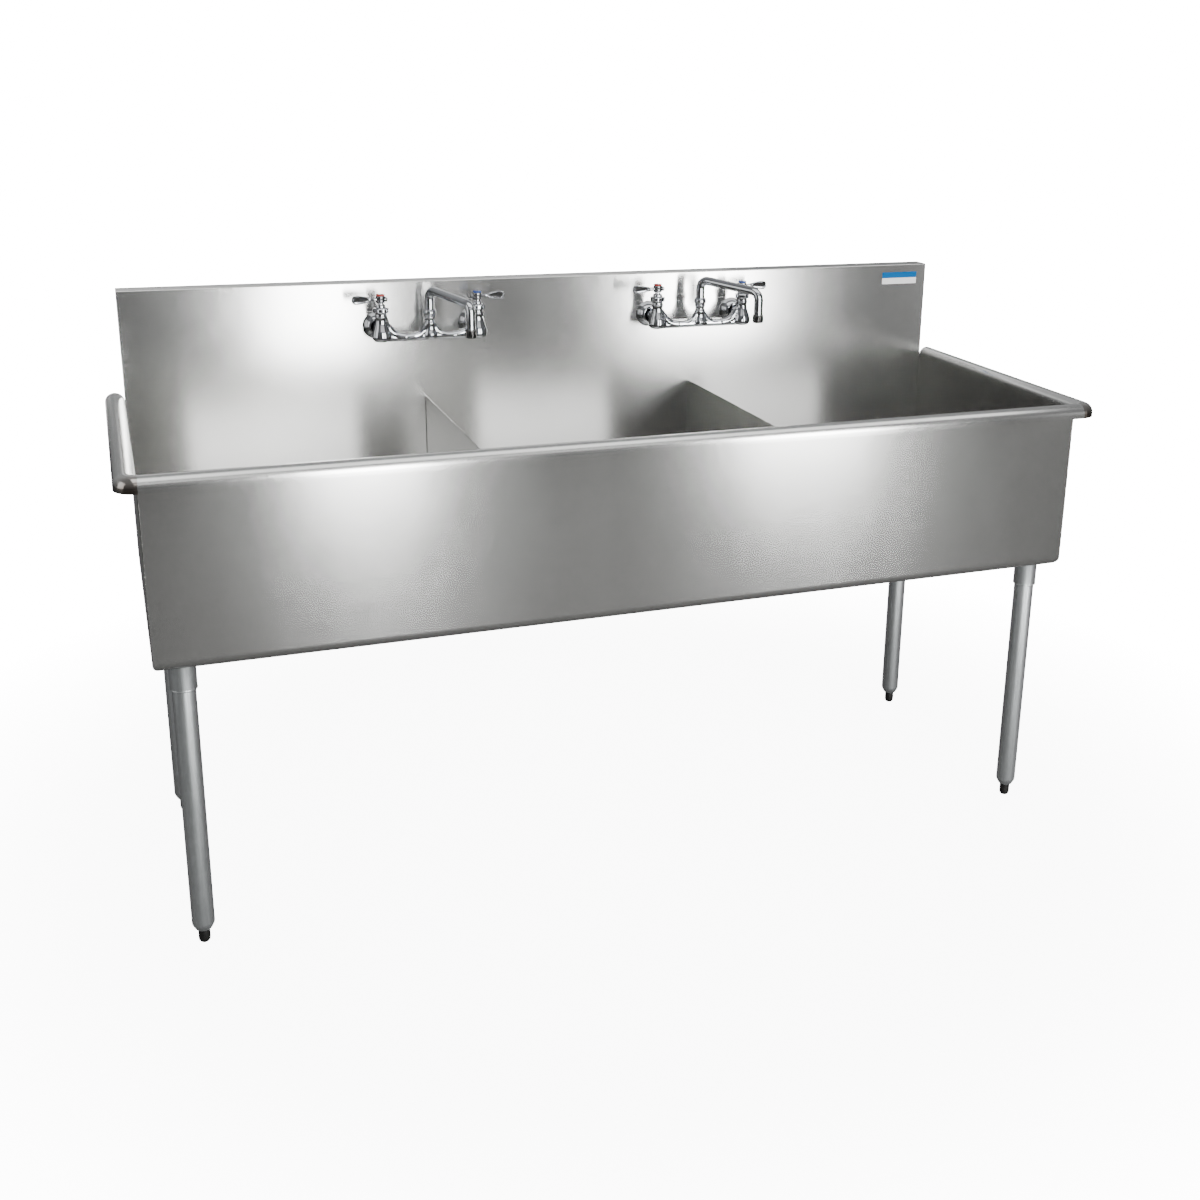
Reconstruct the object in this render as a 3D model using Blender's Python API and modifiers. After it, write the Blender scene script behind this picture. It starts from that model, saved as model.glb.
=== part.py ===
"""Three compartment sink on four legs, with two wall-mounted mixing faucets.

Metres, +Z up. The user stands on the -Y side and +X is to the user's right. The origin is on the
floor, in the middle of the footprint. Bent sheets are open surfaces with a Solidify modifier, turned
pieces are profiles with a Screw modifier, and bent tubes are curves.
"""

import math

import bmesh
import bpy
from mathutils import Matrix, Vector

INCH = 0.0254
GAP = 0.0003

# Sheet metal body
SHEET = 0.0015
SPLASH_WIDTH = 72 * INCH
BOWL_FRONT_TO_BACK = 24.5 * INCH
BOWL_DEPTH = 14 * INCH
RIM_Z = 36 * INCH
SPLASH_HEIGHT = 8 * INCH
SPLASH_RETURN = 1.75 * INCH
SPLASH_FLANGE = 0.5 * INCH
SPLASH_BEND = 0.003
RIM_RADIUS = 0.75 * INCH
RIM_DROP = 0.027
CORNER_RADIUS = 0.75 * INCH
PARTITION_DROP = 1.75 * INCH
PARTITION_THICKNESS = 0.003

# Places that follow from the sizes above
HALF_WIDTH = SPLASH_WIDTH / 2
TOTAL_DEPTH = 2 * RIM_RADIUS + BOWL_FRONT_TO_BACK + SPLASH_RETURN
FRONT_Y = -TOTAL_DEPTH / 2 + 2 * RIM_RADIUS
SPLASH_Y = FRONT_Y + BOWL_FRONT_TO_BACK
SPLASH_Z = RIM_Z + SPLASH_HEIGHT
BOWL_Z = RIM_Z - BOWL_DEPTH
UNDERSIDE_Z = BOWL_Z - SHEET
BOWL_WIDTH = SPLASH_WIDTH / 3
BOWL_CENTRES = (-BOWL_WIDTH, 0.0, BOWL_WIDTH)
PARTITION_X = (-BOWL_WIDTH / 2, BOWL_WIDTH / 2)
MID_Y = (FRONT_Y + SPLASH_Y) / 2

# Legs
LEG_RADIUS = 0.02065
LEG_WALL = 0.0015
LEG_INSET = 0.0475
SOCKET_RADIUS = 0.0242
SOCKET_HEIGHT = 2 * INCH
LEG_END_Z = 0.027
LEG_TAPER = 0.012
FOOT_RADIUS = 0.0108
STEM_RADIUS = 0.0082
STEM_TOP_Z = 0.085

# Drains
DRAIN_HOLE = 1.75 * INCH
DRAIN_THREAD = 0.0430

# Faucets
SUPPLY_Z = 1.027
STANDOFF = 0.060
VALVE_X = 4 * INCH
LEVER_Z = 0.063
SPOUT_REACH = 6 * INCH
SPOUT_RADIUS = 0.0095
SPOUT_ARM_Z = 0.0795
SPOUT_ARM_DROP = 0.010
SPOUT_BEND = 0.018
SPOUT_TIP_Z = 0.002
SPOUT_SWING = (20.0, 34.0)
SHANK_RADIUS = 0.0105
SHANK_HOLE = 0.0120

ROUND = 16
SMALL_ROUND = 12
QUARTER_TURN = math.pi / 2

FINISHES = {
    "satin_stainless": ((0.52, 0.52, 0.50), 0.32, 1.0),
    "chrome_plate": ((0.80, 0.80, 0.80), 0.08, 1.0),
    "galvanised_steel": ((0.45, 0.47, 0.48), 0.45, 1.0),
    "dark_steel": ((0.16, 0.16, 0.16), 0.50, 0.9),
    "black_rubber": ((0.03, 0.03, 0.03), 0.75, 0.0),
    "red_index": ((0.55, 0.05, 0.04), 0.40, 0.0),
    "blue_index": ((0.05, 0.14, 0.50), 0.40, 0.0),
}


def clear_scene():
    for obj in list(bpy.data.objects):
        bpy.data.objects.remove(obj, do_unlink=True)


def new_collection(name):
    found = bpy.data.collections.new(name)
    bpy.context.scene.collection.children.link(found)
    return found


def finish_material(node, finish):
    """Each node gets its own Principled material in one of the finishes."""
    color, roughness, metallic = FINISHES[finish]
    found = bpy.data.materials.new(node + "_" + finish)
    found.use_nodes = True
    shader = found.node_tree.nodes["Principled BSDF"]
    shader.inputs["Base Color"].default_value = (*color, 1.0)
    shader.inputs["Roughness"].default_value = roughness
    shader.inputs["Metallic"].default_value = metallic
    return found


def place(name, mesh, finish, location=(0, 0, 0), turn=0.0):
    """Adds a mesh as a node, at its place and turned about Z by so many degrees."""
    obj = bpy.data.objects.new(name, mesh)
    obj.location = location
    obj.rotation_euler = (0, 0, math.radians(turn))
    PARTS.objects.link(obj)
    if not mesh.materials:
        mesh.materials.append(finish_material(name, finish))
    return obj


def mesh_from(name, shape):
    mesh = bpy.data.meshes.new(name)
    shape.to_mesh(mesh)
    shape.free()
    return mesh


def arc(centre, radius, start, end, steps):
    """Points on an arc in a plane, from one angle to the other in degrees."""
    angles = [math.radians(start + (end - start) * i / steps) for i in range(steps + 1)]
    return [(centre[0] + radius * math.cos(a), centre[1] + radius * math.sin(a)) for a in angles]


def folded_sheet(name, outline, along, low, high, side):
    """A sheet that follows an outline across one axis and runs straight along the other.

    outline holds (across, z) points. side is 1 or -1, for the face that the thickness grows from.
    """
    shape = bmesh.new()
    if along == "X":
        points = [shape.verts.new((low, across, z)) for across, z in outline]
        travel = Vector((high - low, 0, 0))
    else:
        points = [shape.verts.new((across, low, z)) for across, z in outline]
        travel = Vector((0, high - low, 0))
    edges = [shape.edges.new(pair) for pair in zip(points, points[1:])]
    grown = bmesh.ops.extrude_edge_only(shape, edges=edges)
    moved = [item for item in grown["geom"] if isinstance(item, bmesh.types.BMVert)]
    bmesh.ops.translate(shape, verts=moved, vec=travel)
    if side < 0:
        bmesh.ops.reverse_faces(shape, faces=shape.faces)
    obj = place(name, mesh_from(name, shape), "satin_stainless")
    add_thickness(obj)
    return obj


def add_thickness(obj):
    thick = obj.modifiers.new("Sheet", "SOLIDIFY")
    thick.thickness = SHEET
    thick.offset = -1
    thick.use_even_offset = True


def profile_mesh(name, profile, closed):
    """Edges through (radius, z) points, for a Screw modifier to turn."""
    shape = bmesh.new()
    points = [shape.verts.new((radius, 0, z)) for radius, z in profile]
    for pair in zip(points, points[1:]):
        shape.edges.new(pair)
    if closed:
        shape.edges.new((points[-1], points[0]))
    return mesh_from(name, shape)


def add_screw(obj, steps, angle=360):
    turned = obj.modifiers.new("Turn", "SCREW")
    turned.angle = math.radians(angle)
    turned.steps = steps
    turned.render_steps = steps
    turned.use_merge_vertices = angle == 360
    turned.merge_threshold = 0.00005
    turned.use_smooth_shade = True


def turned(name, profile, finish, location, steps=ROUND, closed=False):
    """A piece turned about Z. The profile runs down its outer side."""
    obj = place(name, profile_mesh(name, profile, closed), finish, location)
    add_screw(obj, steps)
    return obj


def applied(obj):
    """The same object with its modifiers applied and its place in its mesh."""
    bpy.context.view_layer.update()
    graph = bpy.context.evaluated_depsgraph_get()
    mesh = bpy.data.meshes.new_from_object(obj.evaluated_get(graph))
    mesh.transform(obj.matrix_world)
    name = obj.name
    bpy.data.objects.remove(obj, do_unlink=True)
    shape = bmesh.new()
    shape.from_mesh(mesh)
    bmesh.ops.remove_doubles(shape, verts=shape.verts, dist=0.00002)
    shape.to_mesh(mesh)
    shape.free()
    found = bpy.data.objects.new(name, mesh)
    PARTS.objects.link(found)
    return found


def cut(obj, cutter, operation="DIFFERENCE"):
    step = obj.modifiers.new(cutter.name, "BOOLEAN")
    step.operation = operation
    step.solver = "EXACT"
    step.object = cutter


def as_cutter(obj):
    for owner in list(obj.users_collection):
        owner.objects.unlink(obj)
    CUTTERS.objects.link(obj)
    obj.hide_render = True
    obj.display_type = "WIRE"
    return obj


def cylinder(name, radius, length, centre, axis="Z", steps=ROUND):
    shape = bmesh.new()
    bmesh.ops.create_cone(
        shape, cap_ends=True, segments=steps, radius1=radius, radius2=radius, depth=length
    )
    onto_axis = Matrix.Rotation(QUARTER_TURN, 4, "X") if axis == "Y" else Matrix()
    bmesh.ops.transform(shape, matrix=Matrix.Translation(centre) @ onto_axis, verts=shape.verts)
    return mesh_from(name, shape)


def slab(name, low, high, lower_radius=0.0):
    """A box between two corners, its two lower edges along X rounded."""
    shape = bmesh.new()
    bmesh.ops.create_cube(shape, size=1)
    low, high = Vector(low), Vector(high)
    scale = Matrix.Diagonal((*(high - low), 1))
    bmesh.ops.transform(shape, matrix=Matrix.Translation((low + high) / 2) @ scale, verts=shape.verts)
    if lower_radius:
        lower = [edge for edge in shape.edges
                 if all(abs(v.co.z - low.z) < 1e-6 for v in edge.verts)
                 and abs(edge.verts[0].co.y - edge.verts[1].co.y) < 1e-6]
        bmesh.ops.bevel(shape, geom=lower, offset=lower_radius, segments=6, profile=0.5,
                        affect="EDGES")
    return mesh_from(name, shape)


def tube(name, points, radius, resolution=3):
    """A round bar along points, as a welded mesh."""
    curve = bpy.data.curves.new(name, "CURVE")
    curve.dimensions = "3D"
    curve.bevel_depth = radius
    curve.bevel_resolution = resolution
    curve.use_fill_caps = True
    spline = curve.splines.new("POLY")
    spline.points.add(len(points) - 1)
    for knot, point in zip(spline.points, points):
        knot.co = (*point, 1)
    obj = bpy.data.objects.new(name, curve)
    PARTS.objects.link(obj)
    return applied(obj)


def joined(name, pieces, finish):
    """One node from pieces that run into each other."""
    first, *others = pieces
    for other in others:
        cut(first, as_cutter(other), "UNION")
    first.name = name
    first.data.materials.clear()
    first.data.materials.append(finish_material(name, finish))
    return first


def rim_outline(wall):
    """The rolled edge outside a wall, from the wall up, over and down to its lip."""
    return arc((wall + RIM_RADIUS, RIM_Z - RIM_RADIUS), RIM_RADIUS, 180, 0, 12) + [
        (wall + 2 * RIM_RADIUS, RIM_Z - RIM_DROP)
    ]


def front_sheet():
    wall = [(-FRONT_Y - CORNER_RADIUS, BOWL_Z)] + arc(
        (-FRONT_Y - CORNER_RADIUS, BOWL_Z + CORNER_RADIUS), CORNER_RADIUS, 270, 360, 6
    )[1:]
    outline = [(-across, z) for across, z in wall + rim_outline(-FRONT_Y)]
    folded_sheet("front_sheet", outline, "X", -HALF_WIDTH + GAP, HALF_WIDTH - GAP, -1)


def back_sheet():
    """Rear wall of the bowls and splash in one, with the return at its top and four faucet holes."""
    bowl = arc((SPLASH_Y - CORNER_RADIUS, BOWL_Z + CORNER_RADIUS), CORNER_RADIUS, 270, 360, 6)
    over = arc((SPLASH_Y + SPLASH_BEND, SPLASH_Z - SPLASH_BEND), SPLASH_BEND, 180, 90, 3)
    back_y = SPLASH_Y + SPLASH_RETURN
    down = arc((back_y - SPLASH_BEND, SPLASH_Z - SPLASH_BEND), SPLASH_BEND, 90, 0, 3)
    outline = bowl + over + down + [(back_y, SPLASH_Z - SPLASH_FLANGE)]
    obj = folded_sheet("back_sheet", outline, "X", -HALF_WIDTH + GAP, HALF_WIDTH - GAP, 1)
    for number, x in enumerate(shank_places()):
        mesh = cylinder(f"shank_hole_{number}", SHANK_HOLE, 0.02, (x, SPLASH_Y, SUPPLY_Z), "Y", 12)
        cut(obj, as_cutter(place(mesh.name, mesh, "satin_stainless")))


def shank_places():
    return [centre + side * VALVE_X for centre in PARTITION_X for side in (-1, 1)]


def bottom_pan():
    mesh = slab("bottom_pan", (-HALF_WIDTH + GAP, FRONT_Y + CORNER_RADIUS + GAP, UNDERSIDE_Z),
                (HALF_WIDTH - GAP, SPLASH_Y - CORNER_RADIUS - GAP, BOWL_Z))
    obj = place("bottom_pan", mesh, "satin_stainless")
    for number, x in enumerate(BOWL_CENTRES):
        hole = cylinder(f"drain_hole_{number}", DRAIN_HOLE, 0.02, (x, MID_Y, BOWL_Z))
        cut(obj, as_cutter(place(hole.name, hole, "satin_stainless")))


def end_sheets():
    outline = [(HALF_WIDTH, UNDERSIDE_Z)] + rim_outline(HALF_WIDTH)
    for name, side in (("end_sheet_left", -1), ("end_sheet_right", 1)):
        turned_outline = [(side * across, z) for across, z in outline]
        obj = folded_sheet(name, turned_outline, "Y", FRONT_Y + GAP, SPLASH_Y + SHEET, -side)
        mesh = slab(name + "_outline", (-1.0, FRONT_Y - SHEET, UNDERSIDE_Z),
                    (1.0, SPLASH_Y + SHEET + GAP, 1.0), CORNER_RADIUS + SHEET)
        cut(obj, as_cutter(place(mesh.name, mesh, "satin_stainless")), "INTERSECT")


def rim_corners():
    """The welded corner where the front roll turns into an end roll: a quarter turn of the roll."""
    outline = rim_outline(0.0)
    outline[0] = (GAP, outline[0][1])
    for name, side in (("rim_corner_left", -1), ("rim_corner_right", 1)):
        corner = profile_mesh(name, outline, False)
        obj = place(name, corner, "satin_stainless", (side * HALF_WIDTH, FRONT_Y, 0),
                    -90 if side > 0 else 180)
        add_screw(obj, 8, 90)
        add_thickness(obj)


def splash_ends():
    """The plates that close the two ends of the splash behind its face."""
    low_y, high_y = SPLASH_Y + SHEET + GAP, SPLASH_Y + SPLASH_RETURN - SHEET - GAP
    for name, side in (("splash_end_left", -1), ("splash_end_right", 1)):
        edges = sorted((side * (HALF_WIDTH - GAP), side * (HALF_WIDTH - GAP - SHEET)))
        mesh = slab(name, (edges[0], low_y, RIM_Z - 2 * RIM_RADIUS),
                    (edges[1], high_y, SPLASH_Z - SPLASH_BEND - SHEET))
        place(name, mesh, "satin_stainless")


def partitions():
    half = PARTITION_THICKNESS / 2
    for name, x in zip(("partition_left", "partition_right"), PARTITION_X):
        mesh = slab(name, (x - half, FRONT_Y + GAP, BOWL_Z + GAP),
                    (x + half, SPLASH_Y - GAP, RIM_Z - PARTITION_DROP), CORNER_RADIUS + GAP)
        place(name, mesh, "satin_stainless")


def drains():
    """A strainer body, its gasket and locknut under the bowl, and the basket that lifts out."""
    body = [(0.0405, 0.0023), (0.0560, 0.0018), (0.0570, GAP), (DRAIN_THREAD, GAP),
            (DRAIN_THREAD, -0.030), (0.0400, -0.042), (0.0240, -0.046), (0.0240, -0.090),
            (0.0205, -0.090), (0.0205, -0.044), (0.0375, -0.040), (0.0405, -0.029)]
    under = -SHEET - GAP
    gasket = [(0.0440, under), (0.0560, under), (0.0560, under - 0.003), (0.0440, under - 0.003)]
    top = under - 0.003 - GAP
    nut = [(0.0440, top), (0.0580, top), (0.0580, top - 0.008), (0.0440, top - 0.008)]
    basket = [(0.0, -0.001), (0.0070, -0.001), (0.0080, -0.004), (0.0035, -0.009),
              (0.0035, -0.0355), (0.0300, -0.0355), (0.0385, -0.005), (0.0398, -0.0055),
              (0.0312, -0.037), (0.0, -0.037)]
    for place_name, x in zip(("left", "middle", "right"), BOWL_CENTRES):
        at = (x, MID_Y, BOWL_Z)
        turned(f"drain_body_{place_name}", body, "chrome_plate", at, ROUND, True)
        turned(f"drain_gasket_{place_name}", gasket, "black_rubber", at, ROUND, True)
        turned(f"drain_locknut_{place_name}", nut, "dark_steel", at, ROUND, True)
        turned(f"drain_basket_{place_name}", basket, "chrome_plate", at, ROUND)


def legs():
    """Four tubes in sockets under the bowls, each with a threaded foot in its tapered end."""
    socket = [(0.0, -GAP), (SOCKET_RADIUS, -GAP), (SOCKET_RADIUS, -SOCKET_HEIGHT),
              (LEG_RADIUS + 0.0005, -SOCKET_HEIGHT), (LEG_RADIUS + 0.0005, -0.003), (0.0, -0.003)]
    inner = LEG_RADIUS - LEG_WALL
    leg = [(LEG_RADIUS, UNDERSIDE_Z - 0.005), (LEG_RADIUS, LEG_END_Z + LEG_TAPER),
           (0.0145, LEG_END_Z), (0.0088, LEG_END_Z), (0.0088, LEG_END_Z + 0.018),
           (inner, LEG_END_Z + 0.022), (inner, UNDERSIDE_Z - 0.005)]
    foot = [(0.0, STEM_TOP_Z), (STEM_RADIUS, STEM_TOP_Z), (STEM_RADIUS, LEG_END_Z - GAP),
            (FOOT_RADIUS, LEG_END_Z - GAP), (FOOT_RADIUS, 0.006), (0.0080, 0.0), (0.0, 0.0)]
    across = {"left": -HALF_WIDTH + LEG_INSET, "right": HALF_WIDTH - LEG_INSET}
    deep = {"front": FRONT_Y + LEG_INSET, "rear": SPLASH_Y - LEG_INSET}
    for end, y in deep.items():
        for side, x in across.items():
            corner = f"{end}_{side}"
            turned(f"leg_socket_{corner}", socket, "galvanised_steel", (x, y, UNDERSIDE_Z), ROUND)
            turned(f"leg_tube_{corner}", leg, "galvanised_steel", (x, y, 0), ROUND, True)
            turned(f"foot_{corner}", foot, "dark_steel", (x, y, 0), 12)


def faucet_body(name, centre):
    """The casting: two valve chambers, the arms between them, the post and the two inlets."""
    valve = [(0.0, 0.030), (0.0125, 0.030), (0.0115, 0.020), (0.0145, 0.006), (0.0190, -0.008),
             (0.0200, -0.015), (0.0170, -0.0215), (0.0090, -0.0245), (0.0, -0.0250)]
    post = [(0.0, 0.026), (0.0115, 0.026), (0.0105, 0.014), (0.0125, 0.0), (0.0155, -0.012),
            (0.0135, -0.0210), (0.0, -0.0240)]
    x, y, z = centre
    pieces = [applied(turned(name + "_post", post, "chrome_plate", centre, SMALL_ROUND))]
    for side in (-1, 1):
        at = (x + side * VALVE_X, y, z)
        pieces.append(applied(turned(f"{name}_valve_{side}", valve, "chrome_plate", at, SMALL_ROUND)))
        dips = [(-0.095, -0.002), (-0.084, -0.0105), (-0.070, -0.0150), (-0.050, -0.0160),
                (-0.030, -0.0150), (-0.016, -0.0090), (-0.007, 0.001)]
        arm = [(x - side * across, y, z + drop) for across, drop in dips]
        pieces.append(tube(f"{name}_arm_{side}", arm, 0.0078, 2))
        inlet = cylinder(f"{name}_inlet_{side}", 0.0122, STANDOFF - 0.006,
                         (at[0], y + (STANDOFF - 0.006) / 2, z), "Y", SMALL_ROUND)
        pieces.append(place(inlet.name, inlet, "chrome_plate"))
        reach = STANDOFF + SHEET + 0.030
        shank = cylinder(f"{name}_shank_{side}", SHANK_RADIUS, reach - 0.010,
                         (at[0], y + (reach + 0.010) / 2, z), "Y", 12)
        pieces.append(place(shank.name, shank, "chrome_plate"))
    joined(name, pieces, "chrome_plate")


def faucet_flange(name, at):
    """The bell that covers the hole in the splash. It is turned about the inlet's own axis."""
    bell = [(0.0130, 0.020), (0.0165, 0.018), (0.0215, 0.010), (0.0280, 0.003), (0.0285, 0.0),
            (0.0250, 0.0), (0.0180, 0.008), (0.0130, 0.014)]
    obj = place(name, profile_mesh(name, bell, True), "chrome_plate", at)
    obj.rotation_euler = (math.radians(90), 0, 0)
    add_screw(obj, ROUND)


def lever(name, at, side):
    """A hub on the valve stem, with a paddle that widens away from it."""
    hub = cylinder(name + "_hub", 0.0095, 0.0145, (0, 0, LEVER_Z + 0.0008), "Z", SMALL_ROUND)
    first = place(hub.name, hub, "chrome_plate")
    shape = bmesh.new()
    bmesh.ops.create_cone(shape, cap_ends=True, segments=12, radius1=0.0045, radius2=0.0095,
                          depth=0.053)
    ends = [face for face in shape.faces if abs(face.normal.z) > 0.9 and face.calc_center_median().z > 0]
    bmesh.ops.bevel(shape, geom=ends[0].edges[:], offset=0.003, segments=2, profile=0.5, affect="EDGES")
    along = Matrix.Rotation(side * QUARTER_TURN, 4, "Y")
    flat = Matrix.Diagonal((1, 0.65, 1, 1))
    middle = Matrix.Translation((side * 0.0315, 0, LEVER_Z))
    bmesh.ops.transform(shape, matrix=middle @ flat @ along, verts=shape.verts)
    paddle = place(name + "_paddle", mesh_from(name + "_paddle", shape), "chrome_plate")
    obj = joined(name, [first, paddle], "chrome_plate")
    obj.location = at
    paddle.parent = obj


def spout_points():
    """The bent tube in its own upright plane: out along -Y, from the swivel to the tip."""
    slope = math.degrees(math.atan2(SPOUT_ARM_DROP, SPOUT_REACH - 2 * SPOUT_BEND))
    rise = [(0.0, 0.0403), (0.0, SPOUT_ARM_Z - SPOUT_BEND - 0.006)]
    top = arc((SPOUT_BEND, SPOUT_ARM_Z - SPOUT_BEND), SPOUT_BEND, 180, 90 - slope, 6)
    low_z = SPOUT_ARM_Z - SPOUT_ARM_DROP
    fall = arc((SPOUT_REACH - SPOUT_BEND, low_z - SPOUT_BEND), SPOUT_BEND, 90 - slope, 0, 5)
    path = rise + top + fall + [(SPOUT_REACH, SPOUT_TIP_Z + 0.0123)]
    return [(0.0, -out, z) for out, z in path]


def faucet(place_name, x, swing):
    y = SPLASH_Y - STANDOFF
    centre = (x, y, SUPPLY_Z)
    name = f"faucet_{place_name}"
    faucet_body(name + "_body", centre)
    nut = [(0.0, 0.040), (0.0110, 0.040), (0.0135, 0.0375), (0.0135, 0.0285), (0.0120, 0.0263),
           (0.0, 0.0263)]
    turned(name + "_spout_nut", nut, "chrome_plate", centre, 12)
    bonnet = [(0.0, 0.0557), (0.0060, 0.0557), (0.0062, 0.0520), (0.0110, 0.0500), (0.0160, 0.0475),
              (0.0160, 0.0360), (0.0125, 0.0330), (0.0125, 0.0303), (0.0, 0.0303)]
    disc = [(0.0, 0.0745), (0.0070, 0.0745), (0.0088, 0.0730), (0.0088, 0.0713), (0.0, 0.0713)]
    for valve, side, finish in (("hot", -1, "red_index"), ("cold", 1, "blue_index")):
        at = (x + side * VALVE_X, y, SUPPLY_Z)
        wall = (at[0], SPLASH_Y - GAP, SUPPLY_Z)
        faucet_flange(f"{name}_{valve}_flange", wall)
        turned(f"{name}_{valve}_bonnet", bonnet, "chrome_plate", at, 12)
        lever(f"{name}_{valve}_lever", at, side)
        turned(f"{name}_{valve}_index", disc, finish, at, SMALL_ROUND)
    bend = tube(name + "_spout", spout_points(), SPOUT_RADIUS)
    bend.location = centre
    bend.rotation_euler = (0, 0, math.radians(swing))
    bend.data.materials.append(finish_material(name + "_spout", "chrome_plate"))
    reach = Matrix.Rotation(math.radians(swing), 3, "Z") @ Vector((0, -SPOUT_REACH, 0))
    tip = (x + reach.x, y + reach.y, SUPPLY_Z + SPOUT_TIP_Z)
    collar = [(0.0, 0.012), (0.0110, 0.012), (0.0116, 0.010), (0.0116, 0.001), (0.0106, 0.0),
              (0.0080, 0.0), (0.0080, 0.003), (0.0, 0.003)]
    turned(name + "_outlet", collar, "chrome_plate", tip, SMALL_ROUND)


clear_scene()
PARTS = new_collection("three_compartment_sink")
CUTTERS = new_collection("cutters")

front_sheet()
back_sheet()
bottom_pan()
end_sheets()
rim_corners()
splash_ends()
partitions()
drains()
legs()
for side_name, faucet_x, faucet_swing in zip(("left", "right"), PARTITION_X, SPOUT_SWING):
    faucet(side_name, faucet_x, faucet_swing)
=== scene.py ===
"""Three compartment sink: stainless bowls, rolled rims, splash, tube legs and two wall faucets.

The frame holds the plain solids. Every operator here makes one piece, or one group of like
pieces, at the place that the frame gives, in metres, with +Z up and the user on the -Y side.
"""

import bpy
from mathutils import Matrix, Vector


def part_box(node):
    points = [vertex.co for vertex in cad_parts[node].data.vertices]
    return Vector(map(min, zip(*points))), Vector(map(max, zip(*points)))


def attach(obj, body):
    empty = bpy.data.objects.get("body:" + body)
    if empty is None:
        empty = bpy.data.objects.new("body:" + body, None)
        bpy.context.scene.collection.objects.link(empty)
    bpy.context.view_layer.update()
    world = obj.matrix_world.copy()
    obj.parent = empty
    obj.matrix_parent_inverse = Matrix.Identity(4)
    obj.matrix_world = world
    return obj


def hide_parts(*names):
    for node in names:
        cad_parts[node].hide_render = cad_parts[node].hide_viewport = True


bl_info = {
    "name": "Three Compartment Sink",
    "version": (1, 0, 0),
    "blender": (4, 5, 0),
    "location": "View3D > Sidebar > Sink",
    "description": "Models a stainless three compartment sink with its faucets, drains and legs",
    "category": "Add Mesh",
}

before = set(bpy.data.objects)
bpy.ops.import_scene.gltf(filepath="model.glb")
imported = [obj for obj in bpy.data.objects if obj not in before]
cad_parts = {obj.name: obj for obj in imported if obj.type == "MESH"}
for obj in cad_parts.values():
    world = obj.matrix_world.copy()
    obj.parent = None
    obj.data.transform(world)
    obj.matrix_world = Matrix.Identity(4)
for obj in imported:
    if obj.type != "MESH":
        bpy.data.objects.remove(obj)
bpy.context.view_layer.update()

import math

import bmesh
import bpy
from bpy.props import FloatProperty, FloatVectorProperty, PointerProperty
from mathutils import Matrix, Vector

ROOT = "sink_body"
# Gap between neighbouring solids, and the thickness of the sheet
CLEARANCE = 0.0003
SHEET = 0.0015
# Which side of its drawn line each sheet is thickened to
FRONT_SIDE, BACK_SIDE, END_SIDE, CORNER_SIDE = -1, 1, 1, -1
# Edges sharper than these angles stay crisp, in degrees
SHEET_CREASE = 35
TURNED_CREASE = 38
BOWLS = ("left", "middle", "right")
FAUCETS = ("left", "right")
VALVES = ("hot", "cold")
CORNERS = ("front_left", "front_right", "rear_left", "rear_right")


def low(node):
    """The lowest corner of a node's box."""
    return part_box(node)[0]


def high(node):
    """The highest corner of a node's box."""
    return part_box(node)[1]


def middle(node):
    """The middle of a node's box."""
    return (low(node) + high(node)) / 2


HALF_WIDTH = high("front_sheet").x + CLEARANCE
FRONT_Y = low("partition_left").y - CLEARANCE
SPLASH_Y = high("partition_left").y + CLEARANCE
BACK_Y = high("back_sheet").y
BOWL_Z = high("bottom_pan").z
UNDERSIDE_Z = low("bottom_pan").z
RIM_Z = high("front_sheet").z
LIP_Z = low("rim_corner_left").z
SPLASH_Z = high("back_sheet").z
PARTITION_Z = high("partition_left").z
RIM_RADIUS = (FRONT_Y - low("front_sheet").y) / 2
COVE_RADIUS = low("bottom_pan").y - FRONT_Y - CLEARANCE
SUPPLY_Z = middle("faucet_left_hot_flange").z
# Drop of the splash's flange to the wall, and the radii of its folds and of the end coves
FLANGE_DROP = 0.0127
FOLD_RADIUS = 0.003
END_RADIUS = 0.0150
# The floor's turned-up ends stay this far inside the end coves
PAN_INSET = 0.0005
DRAIN_HOLE_RADIUS = 0.0446


def linear(code):
    """An sRGB hex code as a linear colour."""
    parts = [int(code[i:i + 2], 16) / 255 for i in (1, 3, 5)]
    return [p / 12.92 if p <= 0.04045 else ((p + 0.055) / 1.055) ** 2.4 for p in parts]


class SinkSizes(bpy.types.PropertyGroup):
    """Sizes that a user may change"""
    grain_spacing: FloatProperty(
        name="Grain Spacing", description="Distance between the lines of the satin finish",
        default=0.0011, min=0.0002, max=0.01, unit="LENGTH")
    grain_length: FloatProperty(
        name="Grain Length", description="Length of one line of the satin finish",
        default=0.120, min=0.01, max=1.0, unit="LENGTH")
    weld_radius: FloatProperty(
        name="Weld Radius", description="Radius of the ground weld along a corner",
        default=0.0016, min=0.0005, max=0.005, unit="LENGTH")
    casting_detail: FloatProperty(
        name="Casting Detail", description="Smallest shape that the faucet casting keeps",
        default=0.0010, min=0.0005, max=0.003, unit="LENGTH")
    hole_edge: FloatProperty(
        name="Strainer Hole Edge", description="Metal left round each hole of a strainer basket",
        default=0.0005, min=0.0002, max=0.002, unit="LENGTH")


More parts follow.
